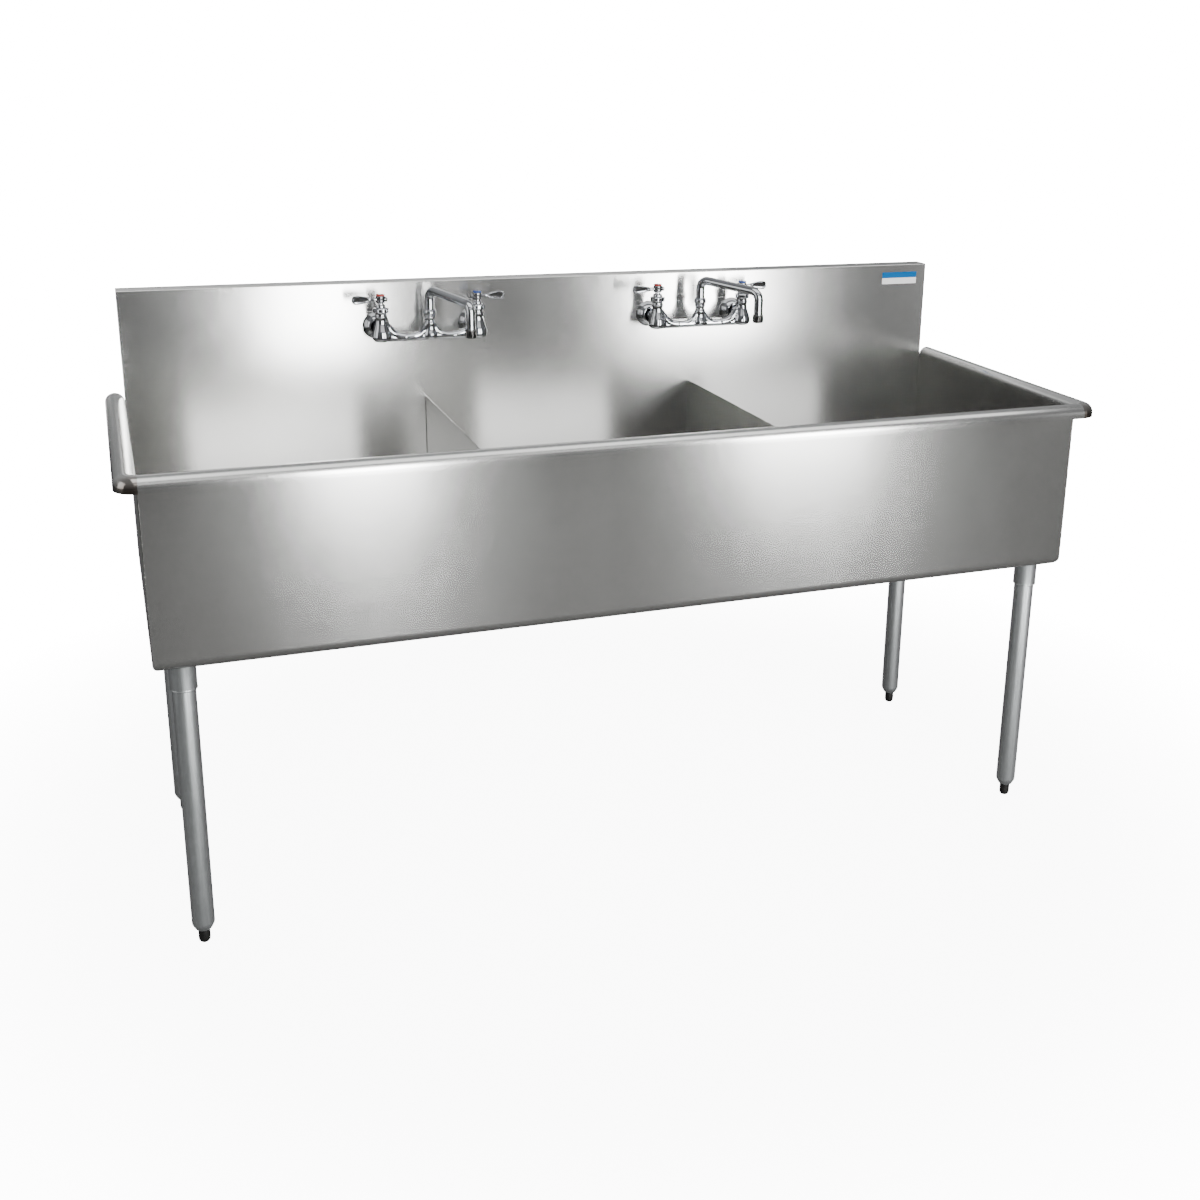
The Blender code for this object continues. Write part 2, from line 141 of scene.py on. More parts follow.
class SinkColours(bpy.types.PropertyGroup):
    """Colours that a user may change"""
    stainless: FloatVectorProperty(
        name="Stainless Steel", description="Colour of the satin sheet", subtype="COLOR", size=3,
        default=linear("#C9C9C7"), min=0, max=1)
    chrome: FloatVectorProperty(
        name="Chrome", description="Colour of the polished plate", subtype="COLOR", size=3,
        default=linear("#BCBEC1"), min=0, max=1)
    galvanised: FloatVectorProperty(
        name="Galvanised Steel", description="Colour of the leg tubes", subtype="COLOR", size=3,
        default=linear("#C2C6C7"), min=0, max=1)
    hot: FloatVectorProperty(
        name="Hot Index", description="Colour of the hot valve's index", subtype="COLOR", size=3,
        default=linear("#A3261E"), min=0, max=1)
    cold: FloatVectorProperty(
        name="Cold Index", description="Colour of the cold valve's index", subtype="COLOR", size=3,
        default=linear("#25468F"), min=0, max=1)


# Modelling


def only(obj):
    """Selects one object and nothing else."""
    if bpy.context.mode != "OBJECT":
        bpy.ops.object.mode_set(mode="OBJECT")
    bpy.ops.object.select_all(action="DESELECT")
    if obj:
        obj.select_set(True)
        bpy.context.view_layer.objects.active = obj


def edit(obj, kind="VERT"):
    """Enters edit mode with all of the object selected."""
    only(obj)
    bpy.ops.object.mode_set(mode="EDIT")
    bpy.ops.mesh.select_mode(type=kind)
    bpy.ops.mesh.select_all(action="SELECT")


def done(angle=None):
    """Leaves edit mode, with edges sharper than the angle kept crisp."""
    bpy.ops.object.mode_set(mode="OBJECT")
    if angle is not None:
        bpy.ops.object.shade_smooth_by_angle(angle=math.radians(angle))


def pick(obj, test, kind="FACE"):
    """In edit mode, selects the faces or edges whose middle and normal pass the test."""
    bpy.ops.mesh.select_mode(type=kind)
    bpy.ops.mesh.select_all(action="DESELECT")
    shape = bmesh.from_edit_mesh(obj.data)
    if kind == "FACE":
        for face in shape.faces:
            face.select_set(bool(test(face.calc_center_median(), face.normal)))
    else:
        for edge in shape.edges:
            ends = [vert.co for vert in edge.verts]
            if test((ends[0] + ends[1]) / 2, (ends[1] - ends[0]).normalized()):
                edge.select_set(True)
    bmesh.update_edit_mesh(obj.data)


def outward():
    """In edit mode, merges doubles and turns every face outwards."""
    bpy.ops.mesh.select_all(action="SELECT")
    bpy.ops.mesh.remove_doubles(threshold=0.00001)
    bpy.ops.mesh.normals_make_consistent(inside=False)


def smoothed(obj, angle=TURNED_CREASE):
    """Smooth shading, with edges sharper than the angle kept crisp."""
    only(obj)
    bpy.ops.object.shade_smooth_by_angle(angle=math.radians(angle))


def apply_modifier(obj, kind, **settings):
    """Adds a modifier with its settings and applies it."""
    only(obj)
    step = obj.modifiers.new(kind.title(), kind)
    for name, value in settings.items():
        setattr(step, name, value)
    bpy.ops.object.modifier_apply(modifier=step.name)


def cut(obj, tool, operation="DIFFERENCE"):
    """Cuts the object with a tool, which is then thrown away."""
    apply_modifier(obj, "BOOLEAN", operation=operation, solver="EXACT", object=tool)
    bpy.data.objects.remove(tool, do_unlink=True)


def thickened(obj, side):
    """Gives a thin shape the sheet's thickness on one side, and turns its faces outwards."""
    apply_modifier(obj, "SOLIDIFY", thickness=SHEET, offset=side, use_even_offset=True)
    edit(obj)
    outward()
    done(SHEET_CREASE)


def drawn(name, points, softened=0.0):
    """A new piece in edit mode: one point, extruded from place to place, its corners rounded."""
    only(None)
    here, *others = [Vector(point) for point in points]
    bpy.ops.mesh.primitive_plane_add(size=0.01, location=here)
    obj = bpy.context.object
    obj.name = name
    bpy.ops.object.transform_apply(location=True)
    edit(obj)
    bpy.ops.mesh.merge(type="CENTER")
    for there in others:
        bpy.ops.mesh.extrude_region_move(TRANSFORM_OT_translate={"value": there - here})
        here = there
    bpy.ops.mesh.select_all(action="SELECT")
    if softened:
        bpy.ops.mesh.bevel(offset=softened, segments=3, affect="VERTICES", clamp_overlap=True)
        bpy.ops.mesh.select_all(action="SELECT")
    return obj


def arc(centre, radius, start, end, steps):
    """Points along a circle between two angles, in degrees."""
    angles = [math.radians(start + (end - start) * i / steps) for i in range(steps + 1)]
    return [(centre[0] + radius * math.cos(a), centre[1] + radius * math.sin(a)) for a in angles]


def bent_sheet(name, points, travel, side):
    """A sheet that follows the points and runs straight along travel, thickened to one side."""
    obj = drawn(name, points)
    bpy.ops.mesh.extrude_region_move(TRANSFORM_OT_translate={"value": travel})
    done()
    thickened(obj, side)
    return obj


def turned(name, profile, at, softened=0.0, steps=48, axis="Z"):
    """A piece turned about an upright axis, or about one that runs to the front.

    The profile is a list of (radius, height) points, or (radius, distance to the front).
    """
    x, y, z = at
    if axis == "Z":
        points, about = [(x + r, y, z + h) for r, h in profile], (0, 0, 1)
    else:
        points, about = [(x + r, y - h, z) for r, h in profile], (0, 1, 0)
    obj = drawn(name, points, softened)
    bpy.ops.mesh.spin(steps=steps, angle=math.radians(360), center=at, axis=about)
    outward()
    done(TURNED_CREASE)
    return obj


def block(name, lowest, highest):
    """A box between two corners, in edit mode and all selected."""
    only(None)
    lowest, highest = Vector(lowest), Vector(highest)
    bpy.ops.mesh.primitive_cube_add(size=1, location=(lowest + highest) / 2)
    obj = bpy.context.object
    obj.name = name
    obj.scale = highest - lowest
    bpy.ops.object.transform_apply(location=True, rotation=True, scale=True)
    edit(obj, "EDGE")
    return obj


def bar(name, points, radius, detail=5, smooth_path=False):
    """A round bar along points."""
    only(None)
    bpy.ops.curve.primitive_nurbs_path_add()
    obj = bpy.context.object
    obj.name = name
    curve = obj.data
    curve.splines.clear()
    path = curve.splines.new("NURBS" if smooth_path else "POLY")
    path.points.add(len(points) - 1)
    for knot, point in zip(path.points, points):
        knot.co = (*point, 1)
    if smooth_path:
        path.order_u = 4
        path.use_endpoint_u = True
        path.resolution_u = 8
    curve.bevel_depth = radius
    curve.bevel_resolution = detail
    curve.use_fill_caps = True
    bpy.ops.object.convert(target="MESH")
    edit(obj)
    outward()
    done(40)
    return obj


def joined(name, pieces):
    """Several pieces made one."""
    only(pieces[0])
    for piece in pieces:
        piece.select_set(True)
    bpy.ops.object.join()
    pieces[0].name = name
    return pieces[0]


def copied(source, name, move=(0, 0, 0), mirrored=False):
    """A copy with its own mesh, moved, and mirrored across the middle of the sink where asked."""
    only(source)
    bpy.ops.object.duplicate()
    obj = bpy.context.object
    obj.name = name
    obj.location = move
    if mirrored:
        obj.scale.x = -1
    bpy.ops.object.transform_apply(location=True, rotation=True, scale=True)
    if mirrored:
        edit(obj)
        bpy.ops.mesh.normals_make_consistent(inside=False)
        done()
    return obj


def finished(obj, body, slot, material, *nodes):
    """Gives a piece its finish, the body that it rides on, and the nodes that it replaces."""
    obj.data.materials.clear()
    obj.data.materials.append(material)
    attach(obj, body)
    if nodes:
        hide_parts(*nodes)
    return obj


def keep_node(node, material):
    """A node whose shape is right gets its finish."""
    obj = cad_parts[node]
    for slot in obj.material_slots:
        slot.material = material


# Materials


def add(tree, kind, inputs=None, **settings):
    """Adds a node. inputs maps a socket's name or number to a value or to another socket."""
    made = tree.nodes.new("ShaderNode" + kind)
    for name, value in settings.items():
        setattr(made, name, value)
    for socket, value in (inputs or {}).items():
        if isinstance(value, bpy.types.NodeSocket):
            tree.links.new(value, made.inputs[socket])
        else:
            made.inputs[socket].default_value = value
    return made


def new_material(name, **values):
    """A material, its node tree and its shader, with values set on the shader's own sockets."""
    found = bpy.data.materials.new(name)
    found.use_nodes = True
    shader = found.node_tree.nodes["Principled BSDF"]
    for socket, value in values.items():
        shader.inputs[socket.replace("_", " ").title()].default_value = value
    return found, found.node_tree, shader


def dress(tree, shader, tone, rough, bump):
    """Links a pattern's colour, roughness and relief to the shader."""
    for made, socket in ((tone, "Base Color"), (rough, "Roughness"), (bump, "Normal")):
        tree.links.new(made.outputs[0], shader.inputs[socket])


def rgba(colour):
    """A linear colour with full alpha."""
    return (*colour, 1.0)


def shade(colour, factor):
    """A linear colour made darker or lighter, with full alpha."""
    return (*[min(1.0, c * factor) for c in colour], 1.0)


def satin_stainless(name, along, heat=()):
    """Type 304 sheet, belt-ground to a satin finish.

    Fine lines all run one way, so highlights draw out across them. Handling leaves soft cloudy
    patches, and heat near a welded corner leaves a straw to brown tint.
    """
    sizes, colours = bpy.context.scene.sink_sizes, bpy.context.scene.sink_colours
    found, tree, shader = new_material(name, metallic=1.0, anisotropic=0.8)
    coords = add(tree, "TexCoord").outputs["Object"]
    across, length = 1 / sizes.grain_spacing, 1 / sizes.grain_length
    stretch = {"X": (length, across, across), "Y": (across, length, across)}[along]
    lines = add(tree, "Mapping", {"Vector": coords, "Scale": stretch})
    # Real lines are about 0.1 mm apart: they are drawn ten times as coarse, so that they show
    grain = add(tree, "TexNoise", {"Vector": lines.outputs[0], "Scale": 1.0, "Detail": 3.0,
                                   "Roughness": 0.6})
    clouds = add(tree, "TexNoise", {"Vector": coords, "Scale": 3.2, "Detail": 3.0,
                                    "Roughness": 0.5})
    wipes_map = add(tree, "Mapping", {"Vector": coords, "Scale": (9.0, 9.0, 3.0)})
    wipes = add(tree, "TexNoise", {"Vector": wipes_map.outputs[0], "Scale": 1.0, "Detail": 4.0})
    tone = add(tree, "Math", {0: grain.outputs["Fac"], 1: 0.5, 2: 0.25}, operation="MULTIPLY_ADD")
    tone = add(tree, "Math", {0: clouds.outputs["Fac"], 1: 0.5, 2: tone.outputs[0]},
               operation="MULTIPLY_ADD")
    base = add(tree, "MixRGB", {0: tone.outputs[0], 1: shade(colours.stainless, 0.86),
                                2: shade(colours.stainless, 1.08)})
    for spot, reach in heat:
        away = add(tree, "VectorMath", {0: coords, 1: spot}, operation="DISTANCE")
        edge = add(tree, "Math", {0: wipes.outputs["Fac"], 1: -0.6 * reach, 2: 0.3 * reach},
                   operation="MULTIPLY_ADD")
        ragged = add(tree, "Math", {0: away.outputs["Value"], 1: edge.outputs[0]}, operation="ADD")
        near = add(tree, "MapRange", {0: ragged.outputs[0], 1: 0.15 * reach, 2: reach, 3: 0.75,
                                      4: 0.0}, interpolation_type="SMOOTHSTEP")
        base = add(tree, "MixRGB", {0: near.outputs[0], 1: base.outputs[0],
                                    2: rgba(linear("#6E5540"))})
    rough = add(tree, "Math", {0: wipes.outputs["Fac"], 1: 0.05, 2: 0.145},
                operation="MULTIPLY_ADD")
    rough = add(tree, "Math", {0: grain.outputs["Fac"], 1: 0.05, 2: rough.outputs[0]},
                operation="MULTIPLY_ADD")
    waves = add(tree, "Bump", {"Height": clouds.outputs["Fac"], "Strength": 0.02, "Distance": 0.02})
    bump = add(tree, "Bump", {"Height": grain.outputs["Fac"], "Strength": 0.05, "Distance": 0.0004,
                              "Normal": waves.outputs[0]})
    dress(tree, shader, base, rough, bump)
    # About the axis that the lines follow, the tangent points across them
    across_lines = add(tree, "Tangent", direction_type="RADIAL", axis=along)
    tree.links.new(across_lines.outputs[0], shader.inputs["Tangent"])
    return found


def polished_chrome(name, colour, roughness=0.07):
    """Cast metal, polished and chrome plated: mirror-like, with a soft bloom of fine wear."""
    found, tree, shader = new_material(name, metallic=1.0)
    coords = add(tree, "TexCoord").outputs["Object"]
    # Wear marks are about 5 mm across and spots about 20 mm
    wear = add(tree, "TexNoise", {"Vector": coords, "Scale": 220.0, "Detail": 5.0})
    spots = add(tree, "TexNoise", {"Vector": coords, "Scale": 45.0, "Detail": 2.0})
    rough = add(tree, "MapRange", {0: wear.outputs["Fac"], 1: 0.35, 2: 0.75, 3: roughness * 0.7,
                                   4: roughness * 1.9})
    tone = add(tree, "MixRGB", {0: spots.outputs["Fac"], 1: shade(colour, 0.93),
                                2: shade(colour, 1.04)})
    bump = add(tree, "Bump", {"Height": spots.outputs["Fac"], "Strength": 0.06,
                              "Distance": 0.0006})
    dress(tree, shader, tone, rough, bump)
    return found


def galvanised_steel(name):
    """Hot-dip galvanised tube: bluish grey zinc, with faint crystal flakes some 9 mm across."""
    colours = bpy.context.scene.sink_colours
    found, tree, shader = new_material(name, metallic=0.92)
    coords = add(tree, "TexCoord").outputs["Object"]
    drawn_out = add(tree, "Mapping", {"Vector": coords, "Scale": (1.0, 1.0, 0.55)})
    flakes = add(tree, "TexVoronoi", {"Vector": drawn_out.outputs[0], "Scale": 110.0})
    streaks_map = add(tree, "Mapping", {"Vector": coords, "Scale": (260.0, 260.0, 9.0)})
    streaks = add(tree, "TexNoise", {"Vector": streaks_map.outputs[0], "Scale": 1.0, "Detail": 4.0})
    flake_tone = add(tree, "MapRange", {0: flakes.outputs["Color"], 3: 0.35, 4: 0.60})
    blend = add(tree, "Math", {0: streaks.outputs["Fac"], 1: 0.35, 2: flake_tone.outputs[0]},
                operation="MULTIPLY_ADD")
    tone = add(tree, "MixRGB", {0: blend.outputs[0], 1: shade(colours.galvanised, 0.80),
                                2: shade(colours.galvanised, 1.12)})
    rough = add(tree, "MapRange", {0: streaks.outputs["Fac"], 3: 0.28, 4: 0.50})
    bump = add(tree, "Bump", {"Height": streaks.outputs["Fac"], "Strength": 0.10,
                              "Distance": 0.0003})
    dress(tree, shader, tone, rough, bump)
    return found


def dull_metal(name, code, roughness, metallic=0.85):
    """Cast zinc or plated steel, left as it came from the mould: even, with fine pits."""
    found, tree, shader = new_material(name, metallic=metallic)
    coords = add(tree, "TexCoord").outputs["Object"]
    # Pits are about 1 mm across and patches about 17 mm
    pits = add(tree, "TexNoise", {"Vector": coords, "Scale": 900.0, "Detail": 2.0})
    patches = add(tree, "TexNoise", {"Vector": coords, "Scale": 60.0, "Detail": 3.0})
    tone = add(tree, "MixRGB", {0: patches.outputs["Fac"], 1: shade(linear(code), 0.75),
                                2: shade(linear(code), 1.25)})
    rough = add(tree, "MapRange", {0: patches.outputs["Fac"], 3: roughness - 0.08,
                                   4: roughness + 0.08})
    bump = add(tree, "Bump", {"Height": pits.outputs["Fac"], "Strength": 0.25,
                              "Distance": 0.0003})
    dress(tree, shader, tone, rough, bump)
    return found


def moulded(name, colour, roughness, specular=0.5):
    """Rubber or plastic from a mould: one colour, with a slight orange-peel surface."""
    found, tree, shader = new_material(name)
    shader.inputs["Specular IOR Level"].default_value = specular
    coords = add(tree, "TexCoord").outputs["Object"]
    # The peel's bumps are about 1.7 mm across
    peel = add(tree, "TexNoise", {"Vector": coords, "Scale": 600.0, "Detail": 2.0})
    tone = add(tree, "MixRGB", {0: peel.outputs["Fac"], 1: shade(colour, 0.88),
                                2: shade(colour, 1.08)})
    rough = add(tree, "MapRange", {0: peel.outputs["Fac"], 3: roughness - 0.05,
                                   4: roughness + 0.05})
    bump = add(tree, "Bump", {"Height": peel.outputs["Fac"], "Strength": 0.08,
                              "Distance": 0.0002})
    dress(tree, shader, tone, rough, bump)
    return found


FINISHES = {}


class SINK_OT_finishes(bpy.types.Operator):
    """Make the finishes that the pieces share"""
    bl_idname = "sink.finishes"
    bl_label = "Finishes"

    def execute(self, context):
        colours = context.scene.sink_colours
        corner_y, corner_z = FRONT_Y - RIM_RADIUS, RIM_Z - RIM_RADIUS
        corners = [((side * (HALF_WIDTH + 0.010), corner_y - 0.010, corner_z - 0.012), 0.050)
                   for side in (-1, 1)]
        FINISHES.update({
            "panel": satin_stainless("satin_stainless_panel", "X"),
            "end": satin_stainless("satin_stainless_end", "Y"),
            "corner": satin_stainless("satin_stainless_corner", "X", corners),
            "weld": satin_stainless("ground_weld", "X", corners),
            "chrome": polished_chrome("chrome_plated_brass", colours.chrome),
            # The levers' chrome colour is painted darker, a painted shade for the dark room that
            # they reflect, and it is a little duller than the castings'
            "lever": polished_chrome("zinc_lever_chrome_painted_shade", shade(colours.chrome, 0.5)[:3], 0.13),
            "drain": polished_chrome("polished_stainless_pressing", colours.stainless, 0.16),
            "legs": galvanised_steel("galvanised_steel"),
            "foot": dull_metal("blackened_steel", "#3B3B3A", 0.48),
            "locknut": dull_metal("cast_zinc", "#8A8A86", 0.42),
            "outlet": dull_metal("dark_knurled_chrome", "#5C5B5A", 0.26, 1.0),
            "rubber": moulded("black_rubber", linear("#1C1C1B"), 0.70, 0.3),
            "hot": moulded("red_abs", colours.hot, 0.30),
            "cold": moulded("blue_abs", colours.cold, 0.30),
            "white_vinyl": moulded("white_vinyl_film", linear("#FFFFFF"), 0.55, 0.1),
            "blue_vinyl": moulded("blue_vinyl_film", linear("#005F9E"), 0.55, 0.1),
        })
        return {"FINISHED"}


# Sheet metal


def rim_profile(wall):
    """The rolled edge outside a wall: up, over and down to its lip, as (across, z) points."""
    roll = arc((wall + RIM_RADIUS, RIM_Z - RIM_RADIUS), RIM_RADIUS, 180, 0, 28)
    return [(wall, RIM_Z - RIM_RADIUS - 0.012)] + roll + [(wall + 2 * RIM_RADIUS, LIP_Z)]


def round_off(obj, along, radius):
    """Keeps what is inside the sink's outline, whose lower edges along one axis are rounded."""
    well_past = 2.0
    reach = HALF_WIDTH + SHEET
    lowest = Vector((-reach, FRONT_Y - SHEET, UNDERSIDE_Z))
    highest = Vector((reach, SPLASH_Y + SHEET, SPLASH_Z + 0.1))
    if along == "Y":
        lowest.y, highest.y = -well_past, well_past
        direction = Vector((0, 1, 0))
    else:
        lowest.x, highest.x = -well_past, well_past
        highest.y += CLEARANCE
        direction = Vector((1, 0, 0))
    outline = block("outline", lowest, highest)
    pick(outline, lambda at, run: abs(run.dot(direction)) > 0.9 and at.z < BOWL_Z, "EDGE")
    bpy.ops.mesh.bevel(offset=radius, segments=12, affect="EDGES")
    done()
    cut(obj, outline, "INTERSECT")
    edit(obj)
    outward()
    done(SHEET_CREASE)


class SINK_OT_front_panel(bpy.types.Operator):
    """Model the front wall with its cove and rolled rim"""
    bl_idname = "sink.front_panel"
    bl_label = "Front Panel"

    def execute(self, context):
        cove = arc((FRONT_Y + COVE_RADIUS, BOWL_Z + COVE_RADIUS), COVE_RADIUS, 270, 180, 12)
        rim = [(2 * FRONT_Y - across, z) for across, z in rim_profile(FRONT_Y)]
        start = -HALF_WIDTH + CLEARANCE
        points = [(start, y, z) for y, z in cove + rim]
        travel = (2 * (HALF_WIDTH - CLEARANCE), 0, 0)
        obj = bent_sheet("front_panel", points, travel, FRONT_SIDE)
        round_off(obj, "Y", END_RADIUS + SHEET)
        finished(obj, ROOT, "sheet_stainless", FINISHES["panel"], "front_sheet")
        return {"FINISHED"}


class SINK_OT_back_panel(bpy.types.Operator):
    """Model the rear wall and the splash above it, with its return and wall flange"""
    bl_idname = "sink.back_panel"
    bl_label = "Back Panel"

    def execute(self, context):
        cove = arc((SPLASH_Y - COVE_RADIUS, BOWL_Z + COVE_RADIUS), COVE_RADIUS, 270, 360, 12)
        over = arc((SPLASH_Y + FOLD_RADIUS, SPLASH_Z - FOLD_RADIUS), FOLD_RADIUS, 180, 90, 8)
        down = arc((BACK_Y - FOLD_RADIUS, SPLASH_Z - FOLD_RADIUS), FOLD_RADIUS, 90, 0, 8)
        outline = cove + over + down + [(BACK_Y, SPLASH_Z - FLANGE_DROP)]
        points = [(-HALF_WIDTH + CLEARANCE, y, z) for y, z in outline]
        travel = (2 * (HALF_WIDTH - CLEARANCE), 0, 0)
        obj = bent_sheet("back_panel", points, travel, BACK_SIDE)
        round_off(obj, "Y", END_RADIUS + SHEET)
        finished(obj, ROOT, "sheet_stainless", FINISHES["panel"], "back_sheet")
        for side in ("left", "right"):
            keep_node(f"splash_end_{side}", FINISHES["end"])
        return {"FINISHED"}


class SINK_OT_label(bpy.types.Operator):
    """Stick a plain blue and white label, with nothing printed on it, on the splash"""
    bl_idname = "sink.label"
    bl_label = "Blank Label"

    def execute(self, context):
        face, film, gap, corner = SPLASH_Y - CLEARANCE, 0.0002, 0.0001, 0.0018
        left, right, bottom, join, top = 0.7980, 0.8900, 1.0715, 1.0858, 1.0995
        for name, lowest, highest in (("white", bottom, join), ("blue", join + gap, top)):
            label = block(f"label_{name}", (left, face - film, lowest), (right, face, highest))
            pick(label, lambda m, run: abs(run.y) > 0.9 and abs(m.z - join) > 0.001, "EDGE")
            bpy.ops.mesh.bevel(offset=corner, segments=5, affect="EDGES")
            done(30)
            finished(label, ROOT, None, FINISHES[f"{name}_vinyl"])
        return {"FINISHED"}


class SINK_OT_end_panels(bpy.types.Operator):
    """Model the two end walls, coved at the bottom and rolled at the top"""
    bl_idname = "sink.end_panels"
    bl_label = "End Panels"

    def execute(self, context):
        cove = arc((HALF_WIDTH - END_RADIUS, BOWL_Z + END_RADIUS), END_RADIUS, 270, 360, 12)
        points = [(-across, FRONT_Y, z) for across, z in cove + rim_profile(HALF_WIDTH)]
        travel = (0, SPLASH_Y + SHEET - FRONT_Y, 0)
        left = bent_sheet("end_panel_left", points, travel, END_SIDE)
        round_off(left, "X", COVE_RADIUS + SHEET)
        right = copied(left, "end_panel_right", mirrored=True)
        for side, obj in (("left", left), ("right", right)):
            finished(obj, ROOT, "sheet_stainless", FINISHES["end"], f"end_sheet_{side}")
        return {"FINISHED"}


class SINK_OT_rim_corners(bpy.types.Operator):
    """Model the two welded corners, where the front roll turns into an end roll"""
    bl_idname = "sink.rim_corners"
    bl_label = "Rim Corners"

    def execute(self, context):
        profile = rim_profile(0)[1:]
        profile[0] = (CLEARANCE, profile[0][1])
        points = [(-HALF_WIDTH - across, FRONT_Y, z) for across, z in profile]
        left = drawn("rim_corner_roll_left", points)
        bpy.ops.mesh.spin(steps=24, angle=math.radians(-90), center=(-HALF_WIDTH, FRONT_Y, 0),
                          axis=(0, 0, 1))
        done()
        thickened(left, CORNER_SIDE)
        right = copied(left, "rim_corner_roll_right", mirrored=True)
        for side, obj in (("left", left), ("right", right)):
            finished(obj, ROOT, "sheet_stainless", FINISHES["corner"], f"rim_corner_{side}")
        return {"FINISHED"}


class SINK_OT_floor_pan(bpy.types.Operator):
    """Model the floor that the three bowls share, its ends turned up into the end coves"""
    bl_idname = "sink.floor_pan"
    bl_label = "Floor Pan"

    def execute(self, context):
        pan = block("floor_pan", *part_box("bottom_pan"))
        done()
        round_off(pan, "Y", END_RADIUS + SHEET + PAN_INSET)
        for bowl in BOWLS:
            at = middle(f"drain_body_{bowl}")
            only(None)
            bpy.ops.mesh.primitive_cylinder_add(
                vertices=64, radius=DRAIN_HOLE_RADIUS, depth=0.02, location=(at.x, at.y, BOWL_Z))
            cut(pan, bpy.context.object)
        smoothed(pan, SHEET_CREASE)
        finished(pan, ROOT, "sheet_stainless", FINISHES["panel"], "bottom_pan")
        return {"FINISHED"}


class SINK_OT_partitions(bpy.types.Operator):
    """Model the partitions: sheet folded double at the top, with a seam all round"""
    bl_idname = "sink.partitions"
    bl_label = "Partitions"

    def execute(self, context):
        folded_edge, seam_radius, seam_inset = 0.0013, 0.0011, 0.0004
        front, rear = FRONT_Y + seam_inset, SPLASH_Y - seam_inset
        radius = COVE_RADIUS - seam_inset
        centre_z = BOWL_Z + seam_inset + radius
        path = [(front, PARTITION_Z - 0.004)]
        path += arc((front + radius, centre_z), radius, 180, 270, 8)
        path += arc((rear - radius, centre_z), radius, 270, 360, 8)
        path += [(rear, PARTITION_Z - 0.004)]
        for side in ("left", "right"):
            node = f"partition_{side}"
            lowest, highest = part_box(node)
            obj = block(f"divider_{side}", lowest, highest)
            pick(obj, lambda at, run: abs(run.x) > 0.9 and at.z < BOWL_Z + 0.01, "EDGE")
            bpy.ops.mesh.bevel(offset=COVE_RADIUS, segments=12, affect="EDGES")
            pick(obj, lambda at, run: abs(run.y) > 0.9 and at.z > PARTITION_Z - 0.001, "EDGE")
            bpy.ops.mesh.bevel(offset=folded_edge, segments=5, affect="EDGES")
            outward()
            done(SHEET_CREASE)
            finished(obj, ROOT, "partition_stainless", FINISHES["end"], node)
            seams = [bar("seam", [(face, y, z) for y, z in path], seam_radius, 2)
                     for face in (lowest.x, highest.x)]
            weld = joined(f"divider_seam_{side}", seams)
            finished(weld, ROOT, "partition_stainless", FINISHES["weld"])
        return {"FINISHED"}


class SINK_OT_corner_welds(bpy.types.Operator):
    """Model the ground welds down the two front corners"""
    bl_idname = "sink.corner_welds"
    bl_label = "Corner Welds"

    def execute(self, context):
        radius = context.scene.sink_sizes.weld_radius
        x, y = -HALF_WIDTH - CLEARANCE / 2, FRONT_Y
        points = []
        steps = 40
        bottom, top = UNDERSIDE_Z + END_RADIUS + SHEET, RIM_Z - RIM_RADIUS
        for i in range(steps + 1):
            z = bottom + (top - bottom) * i / steps
            # A weld ground by hand wanders by a fraction of a millimetre
            sway = 0.00022 * math.sin(2.7 * i) + 0.00012 * math.sin(7.1 * i)
            points.append((x + sway, y - abs(sway) / 2, z))
        left = bar("corner_weld_left", points, radius, 3)
        right = copied(left, "corner_weld_right", mirrored=True)
        for obj in (left, right):
            finished(obj, ROOT, "sheet_stainless", FINISHES["weld"])
        return {"FINISHED"}


# Drains


def column(at, centre, columns):
    """The number of the column that a point lies in, counted round an upright axis."""
    angle = math.atan2(at.y - centre.y, at.x - centre.x) % math.tau
    return int(angle / math.tau * columns + 1e-6)


def strainer_basket(name, at, edge):
    """A cup with rows of holes and a knob on a stem."""
    columns = 40
    cup = [(0.0394, -0.0052), (0.0388, -0.0072), (0.0368, -0.0142), (0.0348, -0.0212),
           (0.0328, -0.0282), (0.0312, -0.0340), (0.0295, -0.0362), (0.0235, -0.0364),
           (0.0175, -0.0364), (0.0100, -0.0364), (0.0030, -0.0364)]
    obj = turned(name, cup, at, steps=columns)
    centre = Vector(at)
    edit(obj, "FACE")
    rows = (0.0107, 0.0177, 0.0247, 0.0311)
    flats = (0.0265, 0.0205, 0.0138)

    def is_hole(middle_at, _normal):
        """Every other column in each row of the wall and in each ring of the bottom."""
        depth = at[2] - middle_at.z
        radius = (middle_at - centre).xy.length
        number = column(middle_at, centre, columns)
        for row, height in enumerate(rows):
            if abs(depth - height) < 0.0012 and radius > 0.029:
                return (number + row) % 2
        for ring, across in enumerate(flats):
            if depth > 0.0360 and abs(radius - across) < 0.0015:
                return (number + ring) % 2
        return False

    pick(obj, is_hole)
    bpy.ops.mesh.inset(thickness=edge, use_individual=True)
    bpy.ops.mesh.delete(type="FACE")
    done()
    apply_modifier(obj, "SOLIDIFY", thickness=0.0006, offset=0)
    knob = turned("knob", [(0.0, -0.0010), (0.0062, -0.0013), (0.0078, -0.0030), (0.0070, -0.0052),
                           (0.0035, -0.0085), (0.0033, -0.0350), (0.0060, -0.0362), (0.0, -0.0364)],
                  at, 0.0004, 24)
    obj = joined(name, [obj, knob])
    smoothed(obj)
    return obj


